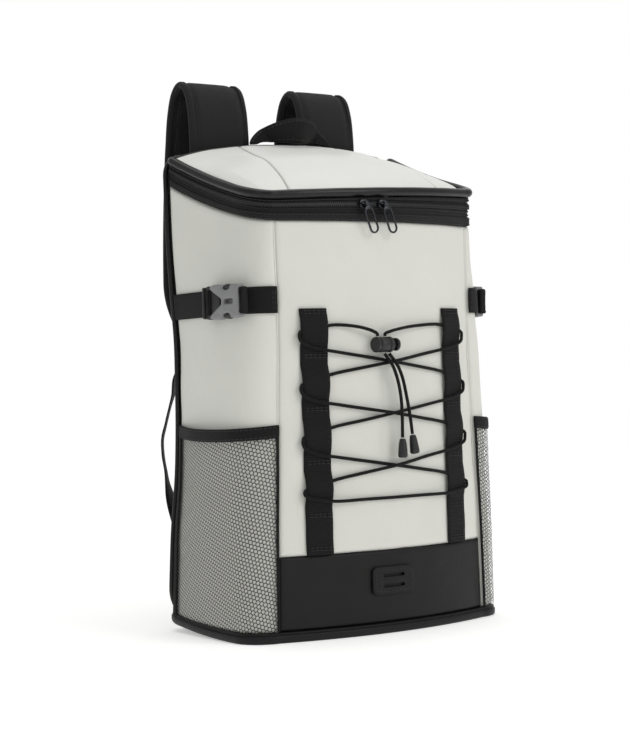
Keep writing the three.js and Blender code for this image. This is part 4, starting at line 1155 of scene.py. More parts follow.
class BackpackWalls(bpy.types.Operator):
    """Padded light walls, the black panel below them and the lash patch"""
    bl_idname = "backpack.walls"
    bl_label = "Walls"

    def execute(self, context):
        edge = 1 - GAP / SEAM_HALF
        p = np.linspace(-edge, edge, 96)[None]
        z = np.linspace(LOWER_TOP + GAP, FRONT_HEIGHT - GAP, 110)[:, None]
        points, out = skin(p, z)
        relief = soft_waves(points, 0.8, 3)
        fold = np.exp(-((points[..., 0] + 9 - 0.03 * (points[..., 2] - 228)) / 3.2) ** 2)
        fold *= np.clip(1 - np.abs(points[..., 2] - 228) / 66, 0, 1) ** 0.6
        points = points + out * (relief - 1.3 * fold)[..., None]
        panel = sheet_object("front_wall", self.seamed(points, out), finish("light_panels"), out, WALL - 0.6)
        place(panel, "bag", "light_panels", "front_panel")

        z = np.linspace(FOOT_HEIGHT + GAP, LOWER_TOP, 36)[:, None]
        points, out = skin(p, z)
        dent = np.exp(-((points[..., 0] + 70) / 26) ** 2 - ((points[..., 2] - 66) / 9) ** 2)
        points = points + out * (soft_waves(points, 0.5, 8) - 0.8 * dent)[..., None]
        lower = sheet_object("front_wall_lower", self.seamed(points, out, 0.7), finish("satin_black"), out, WALL - 0.6)
        place(lower, "bag", "satin_black", "front_lower_panel")

        for name, sign in SIDES:
            p = sign * np.linspace(1 + GAP / DEPTH, 2 - GAP / DEPTH, 84)[None]
            foot = FOOT_HEIGHT + GAP
            top = band_foot(skin(p, FRONT_HEIGHT)[0][..., 1]) - GAP
            z = foot + (top - foot) * np.linspace(0, 1, 110)[:, None]
            points, out = skin(p, z)
            points = points + out * soft_waves(points, 0.7, 11 + sign)[..., None]
            wall = sheet_object("side_wall_" + name, self.seamed(points, out), finish("light_panels"), out, WALL - 0.6)
            place(wall, "bag", "light_panels", "side_panel_" + name)
            z = np.linspace(LOWER_TOP + 1, FRONT_HEIGHT - 1, 60)
            line = skin(np.full(60, float(sign)), z, -2.1)[0]
            seam = tube("front_seam_" + name, line, 1.0, finish("light_panels"), 8, (0, 1, 0))
            place(seam, "bag", "light_panels")
        self.patch()
        return {"FINISHED"}

    def seamed(self, points, out, share=1.0):
        return quilted(points, size_mm("seam_depth") * share, size_mm("seam_width"), out)

    def patch(self):
        width, height, x, z = PATCH
        w = width / 2
        h = height / 2
        outline = rounded(box_outline(-w, w, -h, h), 6)
        slits = [rounded(box_outline(-12.5, 12.5, at - 1.5, at + 1.5), 1.4) for at in (-4.9, 4.9)]
        turn = Matrix(((1, 0, 0, 0), (0, 0, -1, 0), (0, 1, 0, 0), (0, 0, 0, 1)))
        patch = plate("lash_tab", outline, slits, 2.0, 0.55, turn, finish("satin_black"))
        work = bmesh.new()
        work.from_mesh(patch.data)
        bmesh.ops.triangulate(work, faces=work.faces)
        for _ in range(3):
            long_edges = [e for e in work.edges if e.calc_length() > 5 * MM]
            bmesh.ops.subdivide_edges(work, edges=long_edges, cuts=1)
        bmesh.ops.triangulate(work, faces=work.faces)
        for vert in work.verts:
            px = x + vert.co.x / MM
            pz = z + vert.co.z / MM
            stand = PATCH_REST + 1.0 - vert.co.y / MM
            vert.co = Vector((px, float(front_y(px, pz, stand)), pz)) * MM
        work.to_mesh(patch.data)
        work.free()
        weld(patch)
        place(patch, "bag", "satin_black", "lash_patch")
        line = rounded(box_outline(x - w + 3, x + w - 3, z - h + 3, z + h - 3), 4)
        line = np.vstack([line, line[:1]])
        flat = np.stack([line[:, 0], 0 * line[:, 0], line[:, 1]], axis=-1)
        flat = evenly(flat, spacing=1.5)
        stitches("lash_tab_stitching", [on_front(flat[:, 0], flat[:, 2], PATCH_REST + 2.05)], 0.6)


class BackpackLid(bpy.types.Operator):
    """Padded lid in three panels with its piping"""
    bl_idname = "backpack.lid"
    bl_label = "Lid"

    def execute(self, context):
        gap = GAP / SEAM_HALF / 2
        rows = np.linspace(0, 1, 64)[:, None] ** 1.25
        left = LID_SEAMS["left"][0] + (LID_SEAMS["left"][1] - LID_SEAMS["left"][0]) * rows
        right = LID_SEAMS["right"][0] + (LID_SEAMS["right"][1] - LID_SEAMS["right"][0]) * rows
        spans = {"lid_side_left": (-1 + 0 * rows, left - gap, 30), "lid_center": (left + gap, right - gap, 84),
                 "lid_side_right": (right + gap, 1 + 0 * rows, 40)}
        for name, (start, end, columns) in spans.items():
            q = start + (end - start) * np.linspace(0, 1, columns)[None]
            points = lid_point(q, rows)
            up = np.broadcast_to(np.array([0, 0, 1.0]), points.shape)
            points = points + up * soft_waves(points, 0.6, len(name))[..., None]
            points = quilted(points, 1.1, 3.4, up)
            panel = sheet_object("cover_" + name, points, finish("lid_cloth"), up, 3.0)
            place(panel, "bag", "lid_cloth", name)
        p = np.linspace(-1.985, 1.985, 260)
        rim = evenly(band_point(p, 0.2, "piping"), spacing=3)
        roll = LID_PIPING * (1 + 0.012 * np.sin(lengths_of(rim) / 7.0))
        ends = np.clip(np.minimum(lengths_of(rim), lengths_of(rim)[-1] - lengths_of(rim)) / 4, 0.2, 1) ** 0.5
        piping = tube("rim_piping", rim, roll * ends, finish("piping_gloss"), 22)
        place(piping, "bag", "piping_gloss", "lid_piping")
        return {"FINISHED"}


class BackpackZip(bpy.types.Operator):
    """Zip band, teeth, sliders and pulls"""
    bl_idname = "backpack.zip"
    bl_label = "Zip"

    def execute(self, context):
        p = np.linspace(-1.985, 1.985, 240)[None]
        foot = band_point(p, 0, "foot")[..., 2]
        coil = band_point(p, 0, "coil")[..., 2]
        piping = band_point(p, 0, "piping")[..., 2]
        lower = [(0.0, -1.6), (0.012, 0.1), (0.04, 0.8), (0.25, 1.15), (0.48, 0.9), (0.52, 0.1), (0.545, -0.9),
                 (0.59, -0.8), (0.63, 0.25), (0.68, 0.25), (0.72, -0.8), (0.79, -0.8), (0.84, 0.15), (0.9, 0.2),
                 (0.94, -0.5), (1.0, -1.0)]
        upper = [(0.0, -1.0), (0.07, -0.5), (0.12, 0.2), (0.19, 0.15), (0.24, -0.8), (0.35, -0.8), (0.4, 0.3),
                 (0.45, 0.85), (0.75, 1.05), (0.95, 0.5), (1.0, -1.0)]
        edge = 2.3
        self.band("zip_tape_lower", p, foot, coil - edge, lower, "zip_band_lower")
        self.band("zip_tape_upper", p, coil + edge, piping - LID_PIPING - GAP, upper, "zip_band_upper")
        self.teeth(p[0])
        across = np.linspace(-1.96, 1.96, 200)
        lines = []
        for level, share in ((foot, 0.42), (foot, 0.07)):
            z = level[0] + (coil[0] - edge - foot[0]) * share
            points = band_point(p[0], 1.05, "foot")
            points[:, 2] = z
            lines.append(points[(np.abs(p[0]) < 1.96)])
        points = band_point(p[0], 0.95, "coil")
        points[:, 2] = coil[0] + edge + (piping[0] - LID_PIPING - coil[0] - edge) * 0.55
        lines.append(points[(np.abs(p[0]) < across[-1])])
        stitches("zip_stitching", lines)
        for name, sign in SIDES:
            self.slider(name, sign)
        return {"FINISHED"}

    def band(self, name, p, low, high, rows, node):
        grid = []
        for share, out in rows:
            row = skin(p, FRONT_HEIGHT, out - GAP)[0].copy()
            row[..., 2] = low + (high - low) * share
            grid.append(row[0])
        points = np.array(grid)
        outward = np.broadcast_to(skin(p, FRONT_HEIGHT)[1], points.shape)
        band = sheet_object(name, points, finish("black_cloth"), outward, 1.6)
        place(band, "bag", "black_cloth", node)

    def teeth(self, p):
        """Interlocking teeth on the line of the coil."""
        line = evenly(band_point(p, -0.7, "coil"), spacing=size_mm("tooth_pitch") / 2)
        ahead = tangents(line)
        up = np.array([0.0, 0.0, 1.0])
        outward = unit(np.cross(ahead, up))
        points = []
        faces = []
        half = size_mm("tooth_pitch") * 0.27
        profile = [(-1, 0.0), (-1, 0.75), (-0.45, 1.0), (0.45, 1.0), (1, 0.75), (1, 0.0)]
        for i, (at, t, o) in enumerate(zip(line, ahead, outward)):
            shift = 0.75 if i % 2 else -0.75
            first = len(points)
            for end in (-1, 1):
                for z, out in profile:
                    points.append(at + t * half * end + up * (z * 1.75 + shift) + o * out * 1.9)
            count = len(profile)
            for k in range(count):
                a = first + k
                b = first + (k + 1) % count
                faces.append((a, b, b + count, a + count))
            faces.append(tuple(first + k for k in range(count))[::-1])
            faces.append(tuple(first + count + k for k in range(count)))
        teeth = mesh_object("zip_teeth", points, faces, finish("dark_plastic"), smooth=False)
        weld(teeth)
        place(teeth, "bag", "black_webbing", "zip_coil")

    def slider(self, name, sign):
        x = -16.8 + sign * 10.8
        z = float(band_point(x / SEAM_HALF, 0, "coil")[2])
        origin = np.array([x, float(front_y(x, z, 1.9)), z])
        bridge_y = -2.4 - 2.3 - GAP - 0.1
        metal = finish("gunmetal")
        facing = Matrix(((1, 0, 0, 0), (0, 0, -1, 0), (0, 1, 0, 0), (0, 0, 0, 1)))
        facing.translation = Vector(origin) + Vector((0, -1.2, 0))
        shape = rounded([(-5.5, -2.8), (-3.4, -4.2), (3.4, -4.2), (5.5, -2.8), (5.5, 2.4), (3.2, 4.2), (-3.2, 4.2),
                         (-5.5, 2.4)], 1.5)
        shell = plate("slider_plate_" + name, shape, [], 2.4, 0.6, facing, metal)
        bow = [(-4.4, -1.9, 0), (-4.4, -3.6, 0), (-4.2, bridge_y + 0.3, 0), (-3.4, bridge_y, 0), (0, bridge_y, 0),
               (3.4, bridge_y, 0), (4.2, bridge_y + 0.3, 0), (4.4, -3.6, 0), (4.4, -1.9, 0)]
        bar = tube("slider_bow_" + name, rail(np.array(bow) + origin, count=40), 0.8, metal, 12)
        place(merged("slider_" + name, [shell, bar]), "bag", "gunmetal", "zip_slider_" + name)
        pivot = origin + np.array([0, bridge_y, 0])
        self.pull(name, pivot, metal)

    def pull(self, name, pivot, metal):
        length = 30 - 2.3
        start = 1.9
        hang = Matrix.Rotation(-math.radians(20), 4, "Y")
        lay = Matrix(((1, 0, 0, 0), (0, 0, -1, 0), (0, 1, 0, 0), (0, 0, 0, 1)))
        loop_matrix = Matrix.Translation(Vector(pivot)) @ hang @ lay
        turn = np.linspace(0, math.pi, 18)
        r = 5.3
        low = -start - length + r
        high = -start - r
        outline = [(r * math.cos(t), high + r * math.sin(t)) for t in turn]
        outline += [(-r * math.cos(t), low - r * math.sin(t)) for t in turn]
        inner = r - 1.8
        slot_top = high - 2
        slot = [(inner * math.cos(t), slot_top + inner * math.sin(t)) for t in turn]
        slot += [(-inner * math.cos(t), low - inner * math.sin(t)) for t in turn]
        loop = plate("pull_loop_" + name, outline, [slot], 2.0, 0.75, loop_matrix, metal)
        ring = lathe("pull_sleeve_" + name, [(-2.3, 1.35), (-2.3, 2.0), (-2.0, 2.3), (2.0, 2.3), (2.3, 2.0),
                                             (2.3, 1.35), (-2.3, 1.35)], metal, pivot, (1, 0, 0), 24)
        place(merged("pull_" + name, [loop, ring]), "pull_" + name, "gunmetal", "zip_pull_" + name)


def back_edge(z):
    return BACK_HALF * along(BODY_AT, BODY_BACK, np.asarray(z, float) / FRONT_HEIGHT) - (BACK_PIPING - 0.9)


def back_shoulder(sign):
    return float(lid_back_height(sign * (back_edge(FRONT_HEIGHT) - BACK_TOP_CORNER))) - LID_DROP - BACK_TOP_CORNER


def back_outline(sign, out, fine=1):
    """The back panel's edge from the foot up one side to the middle of its top."""
    foot = FOOT_HEIGHT + GAP
    points = []
    for turn in np.linspace(0, math.pi / 2, 4 * fine + 1):
        z = foot + BACK_CORNER * (1 - math.cos(turn))
        x = back_edge(foot + BACK_CORNER) - BACK_CORNER * (1 - math.sin(turn))
        points.append((x + out * math.sin(turn), z - out * math.cos(turn)))
    shoulder = back_shoulder(sign)
    for z in np.linspace(foot + BACK_CORNER, shoulder, 9 * fine + 1)[1:]:
        points.append((float(back_edge(z)) + out, z))
    for turn in np.linspace(0, math.pi / 2, 3 * fine + 1)[1:]:
        x = float(back_edge(shoulder)) - BACK_TOP_CORNER * (1 - math.cos(turn))
        z = shoulder + BACK_TOP_CORNER * math.sin(turn)
        points.append((x + out * math.cos(turn), z + out * math.sin(turn)))
    reach = float(back_edge(shoulder)) - BACK_TOP_CORNER
    for share in np.linspace(1, 0, 4 * fine + 1)[1:-1]:
        points.append((reach * share, float(lid_back_height(sign * reach * share)) - LID_DROP + out))
    return [(sign * x, z) for x, z in points]


def back_loop(out, fine=1):
    middle = (0.0, float(lid_back_height(0)) - LID_DROP + out)
    return np.array([*back_outline(1, out, fine), middle, *back_outline(-1, out, fine)[::-1]])


class BackpackBack(bpy.types.Operator):
    """Padded back panel with sewn channels, its piping and the foot of the bag"""
    bl_idname = "backpack.back"
    bl_label = "Back and foot"

    def execute(self, context):
        self.panel()
        loop = back_loop(BACK_PIPING + GAP, 4)
        line = np.stack([loop[:, 0], 0 * loop[:, 0] + BACK_Y + GAP + BACK_PIPING + 0.1, loop[:, 1]], axis=-1)[8:-8]
        piping = tube("back_rim_piping", evenly(line, spacing=4), BACK_PIPING, finish("piping_gloss"), 16, (0, 1, 0))
        place(piping, "bag", "piping_gloss", "back_piping")
        self.foot()
        return {"FINISHED"}

    def panel(self):
        """Rings from the front edge over the rim to the middle of the padded face."""
        loop = back_loop(0, 4)
        centre = np.array([0.0, 250.0])
        front = BACK_Y + GAP
        rings = []
        for inset, y in ((4, front + 0.2), (0.6, front + 0.4), (0, front + 2), (0, REAR_Y - 6), (0.8, REAR_Y - 3.2),
                         (2.6, REAR_Y - 1.4), (5, REAR_Y - 0.6)):
            toward = unit(centre - loop)
            edge = loop + toward * inset
            rings.append(np.stack([edge[:, 0], 0 * edge[:, 0] + y, edge[:, 1]], axis=-1))
        edge = loop + unit(centre - loop) * 5
        for share in np.linspace(0, 0.995, 62)[1:]:
            at = edge * (1 - share) + centre * share
            rings.append(np.stack([at[:, 0], REAR_Y - 0.6 + self.relief(at[:, 0], at[:, 1]), at[:, 1]], axis=-1))
        rings = np.array(rings)
        cloth = np.stack([rings[..., 0], rings[..., 2], 0 * rings[..., 0]], axis=-1)
        cloth = np.concatenate([cloth, cloth[:, :1]], axis=1)
        panel = sweep("back_padding", rings, finish("air_mesh"), cloth)
        place(panel, "bag", "black_cloth", "back_panel")

    def relief(self, x, z):
        """Sewn channels between the pads, as depths below the face."""
        depth = np.zeros_like(x)
        middle = np.abs(np.abs(x) - 24 - 10 * np.clip((z - 250) / 250, -1, 1) ** 2)
        depth -= 3.4 * np.exp(-(middle / 5.5) ** 2)
        for level in (118, 202, 286, 370):
            low = np.abs(z - level - 0.12 * np.abs(x))
            outside = np.clip((np.abs(x) - 30) / 8, 0, 1)
            depth -= 2.8 * np.exp(-(low / 5.0) ** 2) * outside
        return np.maximum(depth, -3.8)

    def foot(self):
        """Rounded band round the floor, with a sewn groove."""
        def loop(out, z):
            rear = REAR_Y
            sides = np.concatenate([np.linspace(1, 1 + CORNER_SHARE, 16), np.linspace(1 + CORNER_SHARE, 2, 24)[1:]])
            level = skin(sides, FOOT_HEIGHT)[0][:, 1]
            flank = skin(sides[level < rear - FOOT_CORNER - 12], FOOT_HEIGHT, out)[0][:, :2]
            start = flank[-1]
            across = start[0] - 4
            ends = [np.array([start[0] - 1, rear + out - FOOT_CORNER]), np.array([across, rear + out]),
                    np.array([across - FOOT_CORNER, rear + out])]
            bend = np.array([(1 - t) ** 2 * ends[0] + 2 * t * (1 - t) * ends[1] + t * t * ends[2]
                             for t in np.linspace(0, 1, 14)])
            right = np.vstack([flank, bend])
            rear_line = np.stack([np.linspace(right[-1, 0], -right[-1, 0], 20)[1:-1],
                                  np.full(18, right[-1, 1])], axis=-1)
            left = right[::-1] * [-1, 1]
            front = skin(np.linspace(-1, 1, 40)[1:-1], FOOT_HEIGHT, out)[0][:, :2]
            flat = np.vstack([front, right, rear_line, left])
            side = np.clip((np.abs(flat[:, 0]) - 70) / 50, 0, 1) ** 1.5
            rear_share = np.clip((flat[:, 1] + 50) / (rear + 50), 0, 1) ** 2
            return np.column_stack([flat, z + REAR_LIFT * side * rear_share])

        rows = [(-2.4, 0), (-1.2, 0.4), (-0.5, 1.2), (-0.1, 2.4), (0, 3.6), (0, 6.2), (-0.3, 7.0), (-1.4, 7.6),
                (-1.9, 7.9), (-1.2, 8.3), (-0.9, 8.8), (-1.4, 9.4), (-2.4, 9.8), (-3.6, FOOT_HEIGHT),
                (-7, FOOT_HEIGHT), (-7.1, FOOT_HEIGHT - 4)]
        rings = [loop(FOOT_PROUD + out, z) for out, z in rows]
        foot = sweep("foot_band", rings, finish("satin_black"))
        place(foot, "bag", "satin_black", "base_panel")


class BackpackFrontWebbing(bpy.types.Operator):
    """Ribbed webbings that carry the lacing, sewn down between their loops"""
    bl_idname = "backpack.front_webbing"
    bl_label = "Front webbing"

    def execute(self, context):
        lines = []
        for name, sign in SIDES:
            z = np.linspace(WEB_TOP, LOWER_TOP + GAP, 190)[:, None]
            share = np.linspace(-0.5, 0.5, 9)[None]
            x = sign * WEB_X + share * WEB_WIDTH
            lift = web_lift(z) + 0.25 * np.sin(z / 5.1 + sign)
            outer = on_front(x, z, WEB_REST + WEB_THICK + lift)
            inner = on_front(x, z, WEB_REST + lift)
            webbing = strip("lacing_webbing_" + name, outer, inner, finish("black_webbing"))
            place(webbing, "bag", "black_webbing", "front_webbing_" + name)
            sewn = [WEB_TOP - 3.5] + [z0 - 24.6 for z0 in LOOPS] + [LOWER_TOP + 6]
            for level in sewn:
                for dz in (-1.3, 1.3):
                    at = np.linspace(sign * WEB_X - WEB_WIDTH / 2 + 1.5, sign * WEB_X + WEB_WIDTH / 2 - 1.5, 12)
                    stand = WEB_REST + WEB_THICK + float(web_lift(level + dz)) + 0.35
                    lines.append(on_front(at, level + dz, stand))
        stitches("webbing_stitching", lines)
        return {"FINISHED"}


def pocket_point(sign, p, z, out):
    """A point of a side pocket's bellied net."""
    share = (np.asarray(p, float) - POCKET_SPAN[0]) / (POCKET_SPAN[1] - POCKET_SPAN[0])
    foot = FOOT_HEIGHT + GAP
    up = (z - foot) / (POCKET_TOP - foot)
    stand = POCKET_ROOM * np.sin(math.pi * np.clip(share, 0, 1) ** 1.25) ** 1.3
    belly = 0.25 + 0.75 * np.sin(math.pi * np.minimum(1, 0.5 * up + 0.12) * 0.9)
    return skin(sign * p, z, 0.6 + stand * belly + out)[0]


def pocket_sag(p):
    share = (np.asarray(p, float) - POCKET_SPAN[0]) / (POCKET_SPAN[1] - POCKET_SPAN[0])
    return POCKET_SAG * np.sin(math.pi * share)


class BackpackPockets(bpy.types.Operator):
    """Net side pockets with hem and binding"""
    bl_idname = "backpack.pockets"
    bl_label = "Pockets"

    def execute(self, context):
        lines = []
        for name, sign in SIDES:
            net = self.net(name, sign)
            hem = self.hem(name, sign, lines)
            binding = self.binding(name, sign)
            wide, tall = self.flat
            open_share = (1 - size_mm("net_strand") / size_mm("net_cell")) ** 2
            wide * MM
            tall * MM
            wide * tall * (1 - open_share) * MM ** 2
        stitches("pocket_stitching", lines)
        return {"FINISHED"}

    def arc(self, sign):
        """Places on the skin at equal distances over the pocket's width."""
        p = np.linspace(*POCKET_SPAN, 400)
        run = lengths_of(pocket_point(sign, p, np.full(400, 120.0), 0.6))
        return p, run

    def net(self, name, sign):
        p, run = self.arc(sign)
        foot = FOOT_HEIGHT + GAP + 0.4
        cell = size_mm("net_cell")
        wide = run[-1]
        tall = POCKET_TOP - HEM_HEIGHT - foot
        self.flat = (wide, tall)
        rise = cell * 0.95
        reach = int(math.hypot(wide, tall) / rise) + 2
        tilt = math.radians(18)
        hole = 1 - size_mm("net_strand") / cell
        points = []
        faces = []
        index = {}

        def corner(key, s, t):
            if key not in index:
                index[key] = len(points)
                points.append((s, t))
            return index[key]

        turns = [math.radians(60 * k + 30) for k in range(6)]
        for j in range(-reach, reach):
            for i in range(-reach, reach):
                a = (i + 0.5 * (j % 2)) * cell
                b = j * rise
                s = a * math.cos(tilt) - b * math.sin(tilt)
                t = a * math.sin(tilt) + b * math.cos(tilt)
                if not (-cell / 2 < s < wide + cell / 2 and -cell / 2 < t < tall + cell / 2):
                    continue
                outer = []
                for turn in turns:
                    oa = a + cell / math.sqrt(3) * math.cos(turn)
                    ob = b + cell / math.sqrt(3) * math.sin(turn) * 1.1
                    outer.append(corner((round(oa, 1), round(ob, 1)), oa, ob))
                first = len(points)
                for turn in turns:
                    points.append((a + cell / math.sqrt(3) * hole * math.cos(turn),
                                   b + cell / math.sqrt(3) * hole * 1.1 * math.sin(turn)))
                for k in range(6):
                    n = (k + 1) % 6
                    faces.append((outer[k], outer[n], first + n, first + k))
        flat = np.array(points)
        s = np.clip(flat[:, 0] * math.cos(tilt) - flat[:, 1] * math.sin(tilt), 0, wide)
        t = np.clip(flat[:, 0] * math.sin(tilt) + flat[:, 1] * math.cos(tilt), 0, tall)
        place_p = np.interp(s, run, p)
        top = POCKET_TOP - pocket_sag(place_p) - HEM_HEIGHT
        z = foot + (top - foot) * t / tall
        fold = 0.9 * np.exp(-((place_p - 1.86) / 0.02) ** 2) * np.clip((z - 60) / 100, 0, 1)
        points = pocket_point(sign, place_p, z, 0.7 + fold)
        net = mesh_object("pocket_net_" + name, points, faces, finish("black_net"),
                          np.stack([s, t, 0 * s], axis=-1))
        place(net, "bag", "black_net", "pocket_mesh_" + name)
        return net

    def hem(self, name, sign, lines):
        p = np.linspace(*POCKET_SPAN, 70)[:, None]
        share = np.linspace(0, 1, 8)[None]
        top = POCKET_TOP - pocket_sag(p)
        z = top - HEM_HEIGHT * (1 - share)
        puff = 0.5 * np.sin(math.pi * share)
        hem = strip("pocket_edge_" + name, pocket_point(sign, p, z, 1.7 + puff), pocket_point(sign, p, z, 0.1 + 0 * share),
                    finish("black_webbing"))
        place(hem, "bag", "black_webbing", "pocket_hem_" + name)
        for drop in (2.0, HEM_HEIGHT - 2.0):
            flat = np.linspace(POCKET_SPAN[0] + 0.01, POCKET_SPAN[1] - 0.01, 70)
            lines.append(pocket_point(sign, flat, POCKET_TOP - pocket_sag(flat) - drop, 2.15))
        return hem

    def binding(self, name, sign):
        """Folded tape over the net's two upright edges."""
        parts = []
        for end, start in ((0, POCKET_SPAN[0]), (1, POCKET_SPAN[1] - 0.045)):
            z = np.linspace(FOOT_HEIGHT + GAP + 0.3, POCKET_TOP - 0.4, 60)[:, None]
            p = start + np.linspace(0, 0.02 if end == 0 else 0.045, 5)[None] + 0 * z
            parts.append(strip("pocket_binding_%s_%d" % (name, end), pocket_point(sign, p, z, 2.0 + 0 * z),
                               pocket_point(sign, p, z, 0.2 + 0 * z), finish("black_webbing")))
        return place(merged("pocket_binding_" + name, parts), "bag", "black_webbing")


def side_share(z, y):
    low, high = 1.0, 2.0
    for _ in range(40):
        mid = (low + high) / 2
        if float(skin(mid, z)[0][1]) < y:
            low = mid
        else:
            high = mid
    return low


class BackpackSideStraps(bpy.types.Operator):
    """Side straps with their fastened buckles"""
    bl_idname = "backpack.side_straps"
    bl_label = "Side straps"

    def execute(self, context):
        half = BUCKLE[0] / 2
        lines = []
        for name, sign in SIDES:
            middle = BUCKLE_MIDDLE[name]
            front_end = side_share(STRAP_Z, middle - half + 12)
            rear_start = side_share(STRAP_Z, middle + half - 12)
            self.strap("strap_front_" + name, sign, 1.012, front_end, "side_strap_front_" + name)
            self.strap("strap_rear_" + name, sign, rear_start, 1.99, "side_strap_rear_" + name)
            for p in (1.03, 1.05, 1.955, 1.975):
                z = np.linspace(STRAP_Z - 11, STRAP_Z + 11, 12)
                lines.append(skin(sign * p, z, 0.9 + WEB_THICK + 0.1)[0])
            self.buckle(name, sign, middle)
        stitches("side_strap_stitching", lines)
        return {"FINISHED"}

    def strap(self, name, sign, start, end, node):
        p = np.linspace(start, end, 60)[:, None]
        z = STRAP_Z + np.linspace(-0.5, 0.5, 7)[None] * STRAP_WIDTH
        outer = skin(sign * p, z, 0.9 + WEB_THICK)[0]
        inner = skin(sign * p, z, 0.9)[0]
        place(strip(name, outer, inner, finish("grid_webbing")), "bag", "black_webbing", node)

    def buckle(self, name, sign, middle):
        length, width, thick = BUCKLE
        half = length / 2
        lift = 0.9 + WEB_THICK + GAP
        y = np.linspace(-half, half, 9)
        seats = []
        for at in y:
            ends = [skin(side_share(z, middle + at), z, lift)[0] for z in (STRAP_Z - 12.5, STRAP_Z + 12.5)]
            seats.append(max(float(e[0]) for e in ends))
        lean = math.atan2(seats[5] - seats[3], y[5] - y[3])
        seat = max(s - math.tan(lean) * at for s, at in zip(seats, y))
        turn = Matrix.Rotation(-sign * lean, 4, "Z")
        basis = Matrix(((0, 0, sign, 0), (1, 0, 0, 0), (0, 1, 0, 0), (0, 0, 0, 1)))

        def at_depth(depth):
            return Matrix.Translation(Vector((sign * seat, middle, STRAP_Z))) @ turn @ Matrix.Translation(
                Vector((sign * depth, 0, 0))) @ basis

        w = width / 2
        mouth = half - LADDER
        plastic = finish("buckle_plastic")
        dark = finish("dark_plastic")
        upper = [(-half + 3, w - 1.4), (-20, w - 0.6), (-17.5, w - 1.2), (-15.5, w - 4.6), (-12, w - 5.8), (-6, w - 5.8),
                 (-2.5, w - 4.4), (-0.8, w - 1), (3, w), (mouth - 3, w), (mouth + 2.5, w - 1.6), (mouth + 2, w - 4.6),
                 (-1.5, 2.2)]
        outline = upper + [(y, -z) for y, z in upper[::-1]]
        radii = [2, 3, 2, 2, 3, 3, 2, 2, 4, 4, 2, 1.5, 2]
        slot = rounded(box_outline(-21.5, -6, -2.2, 2.2), 2)
        shell = plate("buckle_shell_" + name, rounded(outline, radii + radii[::-1]), [slot], thick - 0.6, 1.7,
                      at_depth(thick / 2), plastic)
        under = [rounded(box_outline(-24, -5, -w + 1.6, w - 1.6), 1), rounded(box_outline(-5, 0.5, 8, w - 1.6), 1),
                 rounded(box_outline(-5, 0.5, -w + 1.6, -8), 1)]
        parts = [shell] + [plate("buckle_floor", shape, [], 3, 0.4, at_depth(1.7), dark) for shape in under]
        place(merged("buckle_housing_" + name, parts), "bag", "dark_plastic", "buckle_female_" + name)
        shoulder = [(4.5, 3.2), (mouth, 11.4), (mouth + 3, w - 1.4), (mouth + 8, w - 0.6), (half - 5, w - 1.4)]
        frame_shape = rounded(shoulder + [(y, -z) for y, z in shoulder[::-1]], 1.5)
        parts = [plate("buckle_frame_" + name, frame_shape, [], 5.6, 0.8, at_depth(3.4), dark)]
        end_bar = rounded(box_outline(half - 4.2, half - 0.8, -w + 1.6, w - 1.6), 1.6)
        parts.append(plate("buckle_end_bar", end_bar, [], 7.2, 1.4, at_depth(4.2), plastic))
        for end in (-1, 1):
            angles = np.linspace(0, 2 * math.pi, 24, endpoint=False)
            button = [(-9 + 6.9 * math.cos(t), end * (w - 3.1) + 2.9 * math.sin(t)) for t in angles]
            parts.append(plate("buckle_button", button, [], 5.6, 1.4, at_depth(3.8), plastic))
        place(merged("buckle_prongs_" + name, parts), "bag", "dark_plastic", "buckle_male_" + name)
        folds = []
        for low, high, deep in ((-half - 2.6, -half + 3.6, 7.6), (mouth + 3.4, half - 6.6, 8.4)):
            fold = rounded(box_outline(low, high, -STRAP_WIDTH / 2, STRAP_WIDTH / 2), 0.8)
            folds.append(plate("strap_fold", fold, [], deep, 2.6, at_depth(deep / 2), finish("grid_webbing")))
        place(merged("strap_folds_" + name, folds), "bag", "black_webbing")


def strap_top():
    return float(lid_back_height(SHOULDER_X)) - LID_DROP + STRAP_RISE


def strap_middle(sign, share):
    return SHOULDER_SHIFT + sign * (SHOULDER_X + STRAP_DRIFT * np.maximum(0, share - 0.45))


def strap_line(count):
    """The middle line of a shoulder strap, with x left at 0."""
    seat = REAR_Y + SHOULDER_THICK / 2 + GAP
    top = strap_top()
    return rail([(0, seat + STRAP_REACH * r, top * h) for r, h in STRAP_ROWS], count=count)


def strap_frame(count, sign):
    """Points, face directions and half widths along a shoulder strap."""
    line = strap_line(count)
    share = np.linspace(0, 1, count)
    ahead = tangents(line)
    face = np.stack([0 * share, -ahead[:, 2], ahead[:, 1]], axis=-1)
    narrow = 1 - 0.42 * (np.maximum(0, share - 0.86) / 0.14) ** 2
    line[:, 0] = strap_middle(sign, share)
    return line, face, SHOULDER_WIDTH / 2 * narrow


